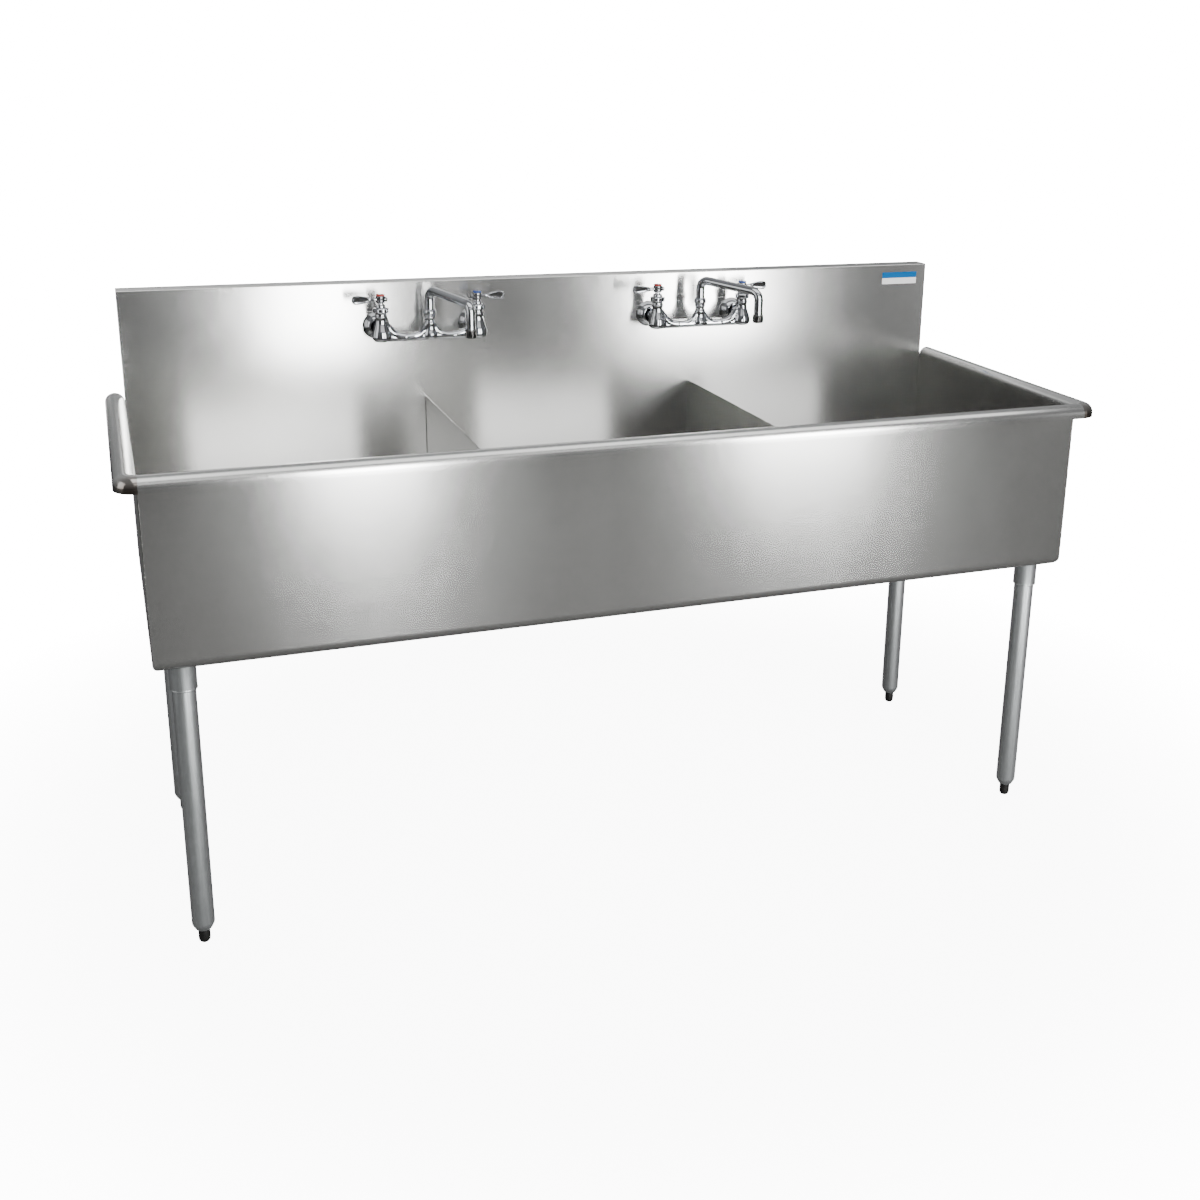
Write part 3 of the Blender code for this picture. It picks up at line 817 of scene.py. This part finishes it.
class SINK_OT_drains(bpy.types.Operator):
    """Model the drains: flanged cups, washers, locknuts with lugs and lift-out strainers"""
    bl_idname = "sink.drains"
    bl_label = "Drains"

    def execute(self, context):
        edge = context.scene.sink_sizes.hole_edge
        places = [middle(f"drain_body_{bowl}") for bowl in BOWLS]
        at = (places[0].x, places[0].y, BOWL_Z)
        tail = [(0.0240, -0.0460)]
        for ridge in range(9):
            drop = -0.0700 - 0.0021 * ridge
            tail += [(0.0236, drop), (0.0240, drop - 0.0007), (0.0236, drop - 0.0014)]
        cup = [(0.0405, 0.0020), (0.0470, 0.0023), (0.0545, 0.0021), (0.0569, 0.0010),
               (0.0570, CLEARANCE), (0.0430, CLEARANCE), (0.0430, -0.0300), (0.0400, -0.0420)]
        cup += tail + [(0.0240, -0.0900), (0.0205, -0.0900), (0.0205, -0.0440), (0.0375, -0.0400),
                       (0.0405, -0.0290), (0.0405, 0.0020)]
        under = low("drain_gasket_left").z - BOWL_Z
        washer = [(0.0440, under), (0.0560, under), (0.0560, under + 0.003),
                  (0.0440, under + 0.003), (0.0440, under)]
        nut_low, nut_high = (limit.z - BOWL_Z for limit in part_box("drain_locknut_left"))
        nut = [(0.0440, nut_low), (0.0552, nut_low), (0.0552, nut_high), (0.0440, nut_high),
               (0.0440, nut_low)]
        # How each piece is made for the left bowl, with its slot, its finish and its node
        makers = {
            "strainer_cup": (lambda: turned("strainer_cup", cup, at, 0, 64),
                             "drain_steel", "drain", "drain_body"),
            "drain_washer": (lambda: turned("drain_washer", washer, at, 0.0005, 64),
                             "drain_rubber", "rubber", "drain_gasket"),
            "drain_nut": (lambda: self.locknut(nut, at),
                          "locknut_metal", "locknut", "drain_locknut"),
            "strainer": (lambda: strainer_basket("strainer", at, edge),
                         "drain_steel", "drain", "drain_basket"),
        }
        for name, (make, slot, finish, node) in makers.items():
            first = make()
            first.name = f"{name}_{BOWLS[0]}"
            made = [first]
            for bowl, place in zip(BOWLS[1:], places[1:]):
                made.append(copied(first, f"{name}_{bowl}", place - places[0]))
            for bowl, obj in zip(BOWLS, made):
                body = f"basket_{bowl}" if name == "strainer" else ROOT
                finished(obj, body, slot, FINISHES[finish], f"{node}_{bowl}")
        return {"FINISHED"}

    def locknut(self, profile, at):
        """A cast ring with eight lugs to knock it round by."""
        obj = turned("drain_nut", profile, at, 0.0006, 64)
        centre = Vector(at)
        edit(obj, "FACE")
        pick(obj, lambda m, n: abs(n.z) < 0.3 and (m - centre).xy.length > 0.0545
             and column(m, centre, 64) % 8 < 2)
        bpy.ops.mesh.extrude_region_shrink_fatten(TRANSFORM_OT_shrink_fatten={"value": 0.0026})
        done(TURNED_CREASE)
        return obj


# Legs


class SINK_OT_legs(bpy.types.Operator):
    """Model the legs: a welded socket, a tube with its end drawn in, and a threaded foot"""
    bl_idname = "sink.legs"
    bl_label = "Legs"

    def execute(self, context):
        place = middle(f"leg_tube_{CORNERS[0]}")
        at = (place.x, place.y, 0)
        socket_low, socket_high = (limit.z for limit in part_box("leg_socket_front_left"))
        outer = (high("leg_socket_front_left").x - low("leg_socket_front_left").x) / 2
        radius = (high("leg_tube_front_left").x - low("leg_tube_front_left").x) / 2
        socket = [(0.0, socket_high), (outer, socket_high), (outer - 0.0006, socket_high - 0.004),
                  (outer - 0.0006, socket_low + 0.003), (outer, socket_low + 0.0015),
                  (outer - 0.0006, socket_low), (radius + 0.0005, socket_low),
                  (radius + 0.0005, socket_low + 0.02), (0.0, socket_low + 0.02)]
        tube_low, tube_high = (limit.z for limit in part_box("leg_tube_front_left"))
        tube = [(0.0, tube_high), (radius, tube_high), (radius, tube_low + 0.0145),
                (radius - 0.0007, tube_low + 0.0105), (0.0152, tube_low + 0.0015),
                (0.0140, tube_low), (0.0095, tube_low), (0.0095, tube_low + 0.006),
                (0.0, tube_low + 0.006)]
        foot_high = high("foot_front_left").z
        collar = tube_low - CLEARANCE
        foot = [(0.0, foot_high), (0.0078, foot_high), (0.0078, collar + 0.001), (0.0104, collar),
                (0.0108, collar - 0.0012), (0.0108, 0.0075), (0.0102, 0.0035), (0.0082, 0.0006),
                (0.0078, 0.0), (0.0, 0.0)]
        parts = (("leg_sleeve", socket, 0.0004, "leg_socket", "galvanised_leg", "legs"),
                 ("leg_pipe", tube, 0.0008, "leg_tube", "galvanised_leg", "legs"),
                 ("leveling_foot", foot, 0.0005, "foot", "foot_steel", "foot"))
        for name, profile, softened, node, slot, finish in parts:
            first = turned(f"{name}_{CORNERS[0]}", profile, at, softened, 64)
            if name == "leg_sleeve":
                first = joined(first.name, [first, self.set_screw(at, outer, socket_low + 0.018)])
            made = [first]
            for corner in CORNERS[1:]:
                move = middle(f"leg_tube_{corner}") - place
                made.append(copied(first, f"{name}_{corner}", (move.x, move.y, 0)))
            for corner, obj in zip(CORNERS, made):
                body = f"adjuster_{corner}" if node == "foot" else ROOT
                finished(obj, body, slot, FINISHES[finish], f"{node}_{corner}")
        return {"FINISHED"}

    def set_screw(self, at, outer, z):
        """The screw that holds the tube in its socket, with a recess."""
        only(None)
        bpy.ops.mesh.primitive_cylinder_add(
            vertices=24, radius=0.0042, depth=0.006, location=(at[0], at[1] + outer - 0.003, z),
            rotation=(math.radians(-90), 0, 0))
        obj = bpy.context.object
        bpy.ops.object.transform_apply(location=True, rotation=True)
        edit(obj, "FACE")
        pick(obj, lambda m, n: n.y > 0.9)
        bpy.ops.mesh.inset(thickness=0.0018)
        bpy.ops.mesh.extrude_region_move(TRANSFORM_OT_translate={"value": (0, -0.0022, 0)})
        done(TURNED_CREASE)
        return obj


# Faucets


# The paddles' inset faces look down a little, in degrees
FACE_TILT = -10


def place_of(faucet):
    """Where a faucet's middle post meets the line of its two supplies."""
    spout_nut = middle(f"faucet_{faucet}_spout_nut")
    return Vector((spout_nut.x, spout_nut.y, SUPPLY_Z))


VALVE_REACH = (middle("faucet_left_cold_index") - place_of("left")).x


def drive_flutes(obj, centre, columns, inner, depth):
    """Sinks every other pair of columns of an outer wall, which leaves ribs round it."""
    edit(obj, "FACE")
    pick(obj, lambda m, n: abs(n.z) < 0.3 and (m - centre).xy.length > inner
         and column(m, centre, columns) % 4 < 2)
    bpy.ops.mesh.inset(thickness=0.0003, depth=-depth)
    done(30)


class SINK_OT_castings(bpy.types.Operator):
    """Model the faucet castings, their arms, inlets and threaded shanks"""
    bl_idname = "sink.castings"
    bl_label = "Faucet Castings"

    def execute(self, context):
        voxel = context.scene.sink_sizes.casting_detail
        start = place_of("left")
        casting = self.casting(start, voxel)
        shanks = self.shanks(start)
        for faucet in FAUCETS:
            move = place_of(faucet) - start
            body = copied(casting, f"faucet_casting_{faucet}", move)
            tails = copied(shanks, f"faucet_shanks_{faucet}", move)
            node = f"faucet_{faucet}_body"
            finished(body, ROOT, "faucet_chrome", FINISHES["chrome"], node)
            finished(tails, ROOT, "faucet_chrome", FINISHES["locknut"], node)
        for spare in (casting, shanks):
            bpy.data.objects.remove(spare, do_unlink=True)
        return {"FINISHED"}

    def casting(self, start, voxel):
        """Two valve chambers and a post, joined by arms, with an inlet behind each chamber."""
        valve = [(0.0, 0.0300), (0.0128, 0.0300), (0.0130, 0.0275), (0.0116, 0.0250),
                 (0.0112, 0.0200), (0.0122, 0.0140), (0.0148, 0.0060), (0.0176, -0.0020),
                 (0.0194, -0.0090), (0.0198, -0.0145), (0.0186, -0.0190), (0.0150, -0.0226),
                 (0.0090, -0.0245), (0.0, -0.0250)]
        post = [(0.0, 0.0260), (0.0112, 0.0260), (0.0116, 0.0230), (0.0100, 0.0200),
                (0.0098, 0.0160), (0.0118, 0.0120), (0.0116, 0.0080), (0.0104, 0.0040),
                (0.0122, -0.0030), (0.0150, -0.0110), (0.0150, -0.0165), (0.0128, -0.0210),
                (0.0070, -0.0236), (0.0, -0.0240)]
        # Each arm is a low bar that sweeps up into the valve at one end and the post at the other
        bar_line = [(0.0960, -0.0165), (0.0840, -0.0168), (0.0560, -0.0170), (0.0400, -0.0170),
                    (0.0240, -0.0168), (0.0120, -0.0165), (0.0040, -0.0160)]
        valve_sweep = [(0.0960, 0.0130), (0.0900, 0.0080), (0.0855, 0.0010), (0.0800, -0.0070),
                       (0.0720, -0.0125), (0.0620, -0.0155), (0.0520, -0.0166)]
        post_sweep = [(0.0040, 0.0090), (0.0085, 0.0030), (0.0130, -0.0050), (0.0190, -0.0112),
                      (0.0270, -0.0150), (0.0360, -0.0166)]
        pieces = [turned("casting", post, start, 0, 40)]
        for side in (-1, 1):
            at = start + Vector((side * VALVE_REACH, 0, 0))
            pieces.append(turned("chamber", valve, at, 0, 48))
            for line, radius in ((bar_line, 0.0078), (valve_sweep, 0.0082), (post_sweep, 0.0076)):
                path = [start + Vector((side * across, 0, height)) for across, height in line]
                pieces.append(bar("arm", path, radius, 5, True))
            inlet = [(0.0, 0.0), (0.0128, 0.0), (0.0128, 0.012), (0.0118, 0.014), (0.0118, 0.044),
                     (0.0, 0.058)]
            back = Vector((at.x, SPLASH_Y - 0.002, at.z))
            pieces.append(turned("inlet", inlet, back, 0, 40, "Y"))
        obj = joined("casting", pieces)
        apply_modifier(obj, "REMESH", mode="VOXEL", voxel_size=voxel, use_smooth_shade=True)
        apply_modifier(obj, "SMOOTH", factor=0.5, iterations=7)
        only(obj)
        bpy.ops.object.shade_smooth()
        return obj

    def shanks(self, start):
        """Threaded tails behind the splash, each with its washer and hexagon locknut."""
        end = high("faucet_left_body").y
        face = SPLASH_Y + SHEET
        pieces = []
        for side in (-1, 1):
            x = start.x + side * VALVE_REACH
            profile = [(0.0, 0.0), (0.0096, 0.0)]
            ridges = 17
            pitch = (end - face - 0.002) / ridges
            for ridge in range(ridges):
                depth = 0.001 + ridge * pitch
                profile += [(0.0098, depth), (0.0105, depth + pitch / 2)]
            profile += [(0.0098, end - face - 0.001), (0.0080, end - face - 0.001),
                        (0.0080, 0.012), (0.0, 0.012)]
            at = (x, end, SUPPLY_Z)
            pieces.append(turned("shank", profile, at, 0, 32, "Y"))
            only(None)
            bpy.ops.mesh.primitive_cylinder_add(
                vertices=6, radius=0.0190, depth=0.0075, rotation=(math.radians(90), 0, 0),
                location=(x, face + 0.0060, SUPPLY_Z))
            nut = bpy.context.object
            bpy.ops.object.transform_apply(location=True, rotation=True)
            edit(nut, "EDGE")
            bpy.ops.mesh.bevel(offset=0.0009, segments=2, affect="EDGES")
            outward()
            done(25)
            pieces.append(nut)
            washer = [(0.0, 0.0), (0.0225, 0.0), (0.0225, 0.0016), (0.0, 0.0016)]
            pieces.append(turned("washer", washer, (x, face + 0.0020, SUPPLY_Z), 0.0003, 40, "Y"))
        return joined("shanks", pieces)


class SINK_OT_valves(bpy.types.Operator):
    """Model the wall flanges, ribbed bonnets, levers and index rings of the four valves"""
    bl_idname = "sink.valves"
    bl_label = "Valves"

    def execute(self, context):
        start = place_of("left") - Vector((VALVE_REACH, 0, 0))
        flange = turned("flange", [(0.0126, 0.0160), (0.0150, 0.0198), (0.0168, 0.0196),
                                   (0.0200, 0.0168), (0.0238, 0.0120), (0.0266, 0.0066),
                                   (0.0281, 0.0020), (0.0285, 0.0), (0.0262, 0.0),
                                   (0.0240, 0.0060), (0.0200, 0.0120), (0.0126, 0.0160)],
                        (start.x, SPLASH_Y - CLEARANCE, SUPPLY_Z), 0, 64, "Y")
        bonnet = self.bonnet(start)
        lever = {"hot": self.lever(start)}
        lever["cold"] = copied(lever["hot"], "lever_cold", (2 * start.x, 0, 0), True)
        ring = turned("ring", [(0.0, 0.0733), (0.0050, 0.0733), (0.0056, 0.0745), (0.0078, 0.0745),
                               (0.0088, 0.0736), (0.0088, 0.0713), (0.0, 0.0713)], start, 0.0002)
        screw = self.screw(start)
        for faucet in FAUCETS:
            for valve, side in zip(VALVES, (-1, 1)):
                at = place_of(faucet) + Vector((side * VALVE_REACH, 0, 0))
                move = at - start
                tag = f"{faucet}_{valve}"
                node = f"faucet_{tag}"
                body = f"handle_{tag}"
                finished(copied(flange, f"wall_flange_{tag}", move), ROOT, "faucet_chrome",
                         FINISHES["chrome"], node + "_flange")
                finished(copied(bonnet, f"valve_bonnet_{tag}", move), ROOT, "faucet_chrome",
                         FINISHES["chrome"], node + "_bonnet")
                finished(copied(lever[valve], f"lever_handle_{tag}", move), body, "faucet_chrome",
                         FINISHES["lever"], node + "_lever")
                finished(copied(ring, f"index_ring_{tag}", move), body,
                         "index_red" if valve == "hot" else "index_blue", FINISHES[valve],
                         node + "_index")
                finished(copied(screw, f"lever_screw_{tag}", move), body, "faucet_chrome",
                         FINISHES["chrome"])
        for spare in (flange, bonnet, lever["hot"], lever["cold"], ring, screw):
            bpy.data.objects.remove(spare, do_unlink=True)
        return {"FINISHED"}

    def bonnet(self, start):
        """A ribbed bonnet nut below, a smaller packing nut above, and the stem."""
        profile = [(0.0, 0.0557), (0.0058, 0.0557), (0.0060, 0.0532), (0.0092, 0.0526),
                   (0.0100, 0.0512), (0.0100, 0.0478), (0.0112, 0.0468), (0.0150, 0.0462),
                   (0.0160, 0.0448), (0.0160, 0.0385), (0.0150, 0.0368), (0.0120, 0.0356),
                   (0.0114, 0.0335), (0.0122, 0.0303), (0.0, 0.0303)]
        obj = turned("bonnet", profile, start, 0, 48)
        drive_flutes(obj, start, 48, 0.0155, 0.0009)
        return obj

    def lever(self, start):
        """A hub with a waisted paddle on one side and a short rounded tip on the other."""
        hub = turned("hub", [(0.0, 0.0711), (0.0086, 0.0711), (0.0094, 0.0700), (0.0094, 0.0660),
                             (0.0084, 0.0645), (0.0084, 0.0600), (0.0090, 0.0590),
                             (0.0088, 0.0568), (0.0, 0.0568)], start, 0.0003)
        z = start.z + 0.0637
        # Distance out from the stem, half the height and half the depth of each section
        sections = [(0.0060, 0.0040, 0.0038), (0.0140, 0.0040, 0.0036), (0.0210, 0.0052, 0.0040),
                    (0.0310, 0.0072, 0.0048), (0.0410, 0.0088, 0.0054), (0.0500, 0.0095, 0.0056),
                    (0.0555, 0.0080, 0.0046), (0.0578, 0.0045, 0.0026)]
        root, height, depth = sections[0]
        paddle = block("paddle", (start.x - root - 0.001, start.y - depth, z - height),
                       (start.x - root, start.y + depth, z + height))
        for (near, height, depth), (out, tall, deep) in zip(sections, sections[1:]):
            pick(paddle, lambda m, n: n.x < -0.9)
            bpy.ops.mesh.extrude_region_move(TRANSFORM_OT_translate={"value": (near - out, 0, 0)})
            bpy.ops.transform.resize(value=(1, deep / depth, tall / height),
                                     center_override=(start.x - out, start.y, z))
        pick(paddle, lambda m, n: abs(n.y) > 0.9 and 0.020 < start.x - m.x < 0.054)
        bpy.ops.mesh.inset(thickness=0.0016, depth=0.0)
        bpy.ops.mesh.inset(thickness=0.0008, depth=-0.0016)
        bpy.ops.transform.rotate(value=math.radians(FACE_TILT), orient_axis="X",
                                 center_override=(start.x, start.y, z))
        done()
        apply_modifier(paddle, "SUBSURF", levels=3, render_levels=3)
        tip = turned("tip", [(0.0, 0.0), (0.0034, 0.0), (0.0036, 0.0070), (0.0048, 0.0082),
                             (0.0048, 0.0128), (0.0036, 0.0148), (0.0, 0.0152)],
                     (start.x, start.y, z), 0.0004, 24)
        tip.rotation_euler = (0, math.radians(90), 0)
        pivot = Vector((start.x, start.y, z))
        tip.location = pivot - Matrix.Rotation(math.radians(90), 3, "Y") @ pivot
        only(tip)
        bpy.ops.object.transform_apply(location=True, rotation=True)
        obj = joined("lever", [hub, paddle, tip])
        edit(obj)
        bpy.ops.mesh.normals_make_consistent(inside=False)
        done(40)
        return obj

    def screw(self, start):
        """The crosshead screw that holds a lever on its stem."""
        obj = turned("screw", [(0.0, 0.0748), (0.0024, 0.0747), (0.0040, 0.0741), (0.0046, 0.0734),
                               (0.0, 0.0730)], start, 0, 32)
        for turn in (0, 90):
            slot = block("slot", (-0.0026, -0.0005, 0.0743), (0.0026, 0.0005, 0.0760))
            done()
            slot.rotation_euler = (0, 0, math.radians(turn + 30))
            slot.location = start
            cut(obj, slot)
        smoothed(obj)
        return obj


class SINK_OT_spouts(bpy.types.Operator):
    """Model the swing spouts with their swivel nuts and ribbed outlets"""
    bl_idname = "sink.spouts"
    bl_label = "Spouts"

    def execute(self, context):
        for faucet in FAUCETS:
            start = place_of(faucet)
            outlet_at = middle(f"faucet_{faucet}_outlet")
            nut = turned(f"swivel_nut_{faucet}",
                         [(0.0, 0.0400), (0.0104, 0.0400), (0.0124, 0.0385), (0.0134, 0.0355),
                          (0.0134, 0.0315), (0.0122, 0.0288), (0.0108, 0.0278), (0.0116, 0.0263),
                          (0.0, 0.0263)], start, 0.0003)
            finished(nut, ROOT, "faucet_chrome", FINISHES["chrome"], f"faucet_{faucet}_spout_nut")
            spout = bar(f"swing_spout_{faucet}", self.path(start, outlet_at), 0.0095, 8)
            finished(spout, f"spout_{faucet}", "faucet_chrome", FINISHES["chrome"],
                     f"faucet_{faucet}_spout")
            at = Vector((outlet_at.x, outlet_at.y, low(f"faucet_{faucet}_outlet").z))
            outlet = turned(f"spout_outlet_{faucet}",
                            [(0.0, 0.0170), (0.0106, 0.0170), (0.0116, 0.0158), (0.0116, 0.0022),
                             (0.0108, 0.0008), (0.0098, 0.0), (0.0082, 0.0), (0.0082, 0.0030),
                             (0.0, 0.0030)], at, 0, 64)
            drive_flutes(outlet, at, 64, 0.0112, 0.0005)
            finished(outlet, f"spout_{faucet}", "faucet_chrome", FINISHES["outlet"],
                     f"faucet_{faucet}_outlet")
        return {"FINISHED"}

    def path(self, start, outlet_at):
        """Up from the swivel, over, out with a slight fall, and down to the outlet."""
        out = (outlet_at - start).xy
        reach, direction = out.length, out.normalized()
        top, bend, drop = 0.0795, 0.018, 0.010
        slope = math.degrees(math.atan2(drop, reach - 2 * bend))
        path = [(0.0, 0.0403), (0.0, top - bend - 0.006)]
        path += arc((bend, top - bend), bend, 180, 90 - slope, 12)
        path += arc((reach - bend, top - drop - bend), bend, 90 - slope, 0, 12)
        path += [(reach, high("faucet_left_outlet").z - SUPPLY_Z + CLEARANCE)]
        return [(start.x + direction.x * far, start.y + direction.y * far, SUPPLY_Z + z)
                for far, z in path]


# Stage


# Strength at which the camera sees plain white
PLAIN_WHITE = 20.0
# Low cards with a narrow beam, in degrees, just inside the front wall, which the rear wall of
# each bowl reflects: place and aim across, width, power
CARD_SPREAD = 55
BOWL_CARDS = {
    "left_bowl_card": (-0.57, -0.62, 0.40, 0.085),
    "middle_bowl_card": (0.12, 0.02, 0.34, 0.070),
    "right_bowl_card": (0.75, 0.60, 0.32, 0.060),
}


class SINK_OT_stage(bpy.types.Operator):
    """Set the pale floor, the soft studio lights and the camera"""
    bl_idname = "sink.stage"
    bl_label = "Stage"

    def execute(self, context):
        self.floor()
        self.studio_air()
        card_y, card_z, card_height = FRONT_Y + 0.055, 0.70, 0.20
        # Name, place, aim, width, height, power
        lamps = (
            *((name, (at, card_y, card_z), (aim, 0.3, card_z), width, card_height, power)
              for name, (at, aim, width, power) in BOWL_CARDS.items()),
            ("front_left_softbox", (0.06, -4.0, 1.3), (0.06, 0, 1.15), 0.46, 2.6, 108),
            ("front_right_softbox", (2.12, -4.0, 1.3), (2.12, 0, 1.15), 0.66, 2.6, 150),
            ("top_softbox", (0.5, -0.9, 3.6), (0.5, 0, 0.6), 4.4, 2.0, 62),
            ("front_top_card", (0.3, -3.4, 3.3), (0.3, 0, 0.9), 4.2, 1.0, 15),
            ("right_card", (4.1, -3.6, 1.2), (1.0, 0, 0.9), 1.5, 2.2, 5.5),
            ("left_fill", (-3.4, -0.6, 1.6), (0, 0, 0.7), 1.6, 2.2, 18),
            ("low_back_card", (0.0, 4.0, 0.7), (0, 0, 0.7), 3.2, 1.1, 24),
            ("back_fill", (0.4, 3.6, 2.6), (0, 0, 0.7), 3.0, 1.6, 12),
        )
        for name, at, aim, width, height, power in lamps:
            only(None)
            bpy.ops.object.light_add(type="AREA", location=at)
            lamp = bpy.context.object
            lamp.name = name
            lamp.data.shape = "RECTANGLE"
            lamp.data.size, lamp.data.size_y = width, height
            lamp.data.energy = power
            lamp.visible_camera = False
            lamp.rotation_euler = (Vector(aim) - Vector(at)).to_track_quat("-Z", "Y").to_euler()
            if name in BOWL_CARDS:
                lamp.data.spread = math.radians(CARD_SPREAD)
        self.camera(context)
        return {"FINISHED"}

    def floor(self):
        """A plain pale floor that fades into the white round it."""
        only(None)
        bpy.ops.mesh.primitive_circle_add(vertices=96, radius=9.0, fill_type="NGON",
                                          location=(0, 0, -0.0005))
        ground = bpy.context.object
        ground.name = "studio_floor"
        bpy.ops.object.transform_apply(location=True)
        found, tree, shader = new_material("pale_studio_floor", roughness=0.9)
        shader.inputs["Specular IOR Level"].default_value = 0.1
        coords = add(tree, "TexCoord").outputs["Object"]
        # To rays other than the camera's the floor is a painted shade: dark grey, darker still
        # further out where the front lamps light it, so that the metal reflects a dark floor
        away = add(tree, "VectorMath", {0: coords}, operation="LENGTH")
        painted_shade_far = add(tree, "MapRange", {0: away.outputs["Value"], 1: 1.2, 2: 2.6},
                  interpolation_type="SMOOTHSTEP")
        tone = add(tree, "MixRGB", {0: painted_shade_far.outputs[0], 1: rgba(linear("#6E6E6D")),
                                    2: rgba(linear("#5C5C5B"))})
        tree.links.new(tone.outputs[0], shader.inputs["Base Color"])
        fade = add(tree, "MapRange", {0: away.outputs["Value"], 1: 0.9, 2: 2.4, 3: 0.50, 4: 1.0},
                   interpolation_type="SMOOTHSTEP")
        seen = add(tree, "LightPath").outputs["Is Camera Ray"]
        lit = add(tree, "Math", {0: fade.outputs[0], 1: seen}, operation="MULTIPLY")
        glow = add(tree, "Emission", {"Color": (1, 1, 1, 1), "Strength": PLAIN_WHITE})
        mix = add(tree, "MixShader", {0: lit.outputs[0], 1: shader.outputs[0], 2: glow.outputs[0]})
        tree.links.new(mix.outputs[0], tree.nodes["Material Output"].inputs["Surface"])
        ground.data.materials.append(found)

    def studio_air(self):
        """A white studio: bright above and behind, darker low down towards the front."""
        world = bpy.data.worlds.new("white_studio")
        bpy.context.scene.world = world
        world.use_nodes = True
        tree = world.node_tree
        tree.nodes.clear()
        way = add(tree, "TexCoord").outputs["Generated"]
        parts = add(tree, "SeparateXYZ", {0: way})
        rise = add(tree, "MapRange", {0: parts.outputs["Z"], 1: -0.2, 2: 0.9, 3: 0.10, 4: 0.30},
                   interpolation_type="SMOOTHSTEP")
        behind = add(tree, "MapRange", {0: parts.outputs["Y"], 1: 0.1, 2: 0.9, 3: 1.0, 4: 2.1},
                     interpolation_type="SMOOTHSTEP")
        strength = add(tree, "Math", {0: rise.outputs[0], 1: behind.outputs[0]},
                       operation="MULTIPLY")
        soft = add(tree, "Background", {"Color": (0.97, 0.985, 1.0, 1),
                                        "Strength": strength.outputs[0]})
        plain = add(tree, "Background", {"Color": (1, 1, 1, 1), "Strength": PLAIN_WHITE})
        seen = add(tree, "LightPath").outputs["Is Camera Ray"]
        mix = add(tree, "MixShader", {0: seen, 1: soft.outputs[0], 2: plain.outputs[0]})
        add(tree, "OutputWorld", {"Surface": mix.outputs[0]})

    def camera(self, context):
        """The camera, in front and to the left, looking a little down."""
        yaw, pitch, roll = (math.radians(angle) for angle in (21.604, -17.011, 1.187))
        forward = Vector((math.sin(yaw) * math.cos(pitch), math.cos(yaw) * math.cos(pitch),
                          math.sin(pitch)))
        right = forward.cross(Vector((0, 0, 1))).normalized()
        up = right.cross(forward)
        tilted = right * math.cos(roll) + up * math.sin(roll)
        upright = up * math.cos(roll) - right * math.sin(roll)
        only(None)
        bpy.ops.object.camera_add(location=(-0.94489, -2.761645, 1.572385))
        obj = bpy.context.object
        obj.name = "view_camera"
        obj.rotation_euler = Matrix((tilted, upright, -forward)).transposed().to_euler()
        obj.data.sensor_width = 36.0
        obj.data.lens = 43.888
        obj.data.shift_x, obj.data.shift_y = -0.0597, -0.0767
        context.scene.camera = obj


OPERATORS = (
    SINK_OT_finishes, SINK_OT_front_panel, SINK_OT_back_panel, SINK_OT_label, SINK_OT_end_panels,
    SINK_OT_rim_corners, SINK_OT_floor_pan, SINK_OT_partitions, SINK_OT_corner_welds,
    SINK_OT_drains, SINK_OT_legs, SINK_OT_castings, SINK_OT_valves, SINK_OT_spouts, SINK_OT_stage,
)


class SINK_PT_panel(bpy.types.Panel):
    """The sidebar's list of sizes, colours and operators"""
    bl_idname = "SINK_PT_panel"
    bl_label = "Three Compartment Sink"
    bl_space_type = "VIEW_3D"
    bl_region_type = "UI"
    bl_category = "Sink"

    def draw(self, context):
        for group in (context.scene.sink_sizes, context.scene.sink_colours):
            box = self.layout.box()
            for name in group.__annotations__:
                box.prop(group, name)
        for operator in OPERATORS:
            self.layout.operator(operator.bl_idname)


def register():
    """Adds the add-on's classes and the scene's settings."""
    for found in (SinkSizes, SinkColours, *OPERATORS, SINK_PT_panel):
        bpy.utils.register_class(found)
    bpy.types.Scene.sink_sizes = PointerProperty(type=SinkSizes)
    bpy.types.Scene.sink_colours = PointerProperty(type=SinkColours)


def unregister():
    """Takes away what register added."""
    del bpy.types.Scene.sink_colours
    del bpy.types.Scene.sink_sizes
    for found in (SINK_PT_panel, *reversed(OPERATORS), SinkColours, SinkSizes):
        bpy.utils.unregister_class(found)


def main():
    """Makes every piece and the stage."""
    register()
    for operator in OPERATORS:
        group, name = operator.bl_idname.split(".")
        getattr(getattr(bpy.ops, group), name)()
    only(None)


if __name__ == "__main__":
    main()
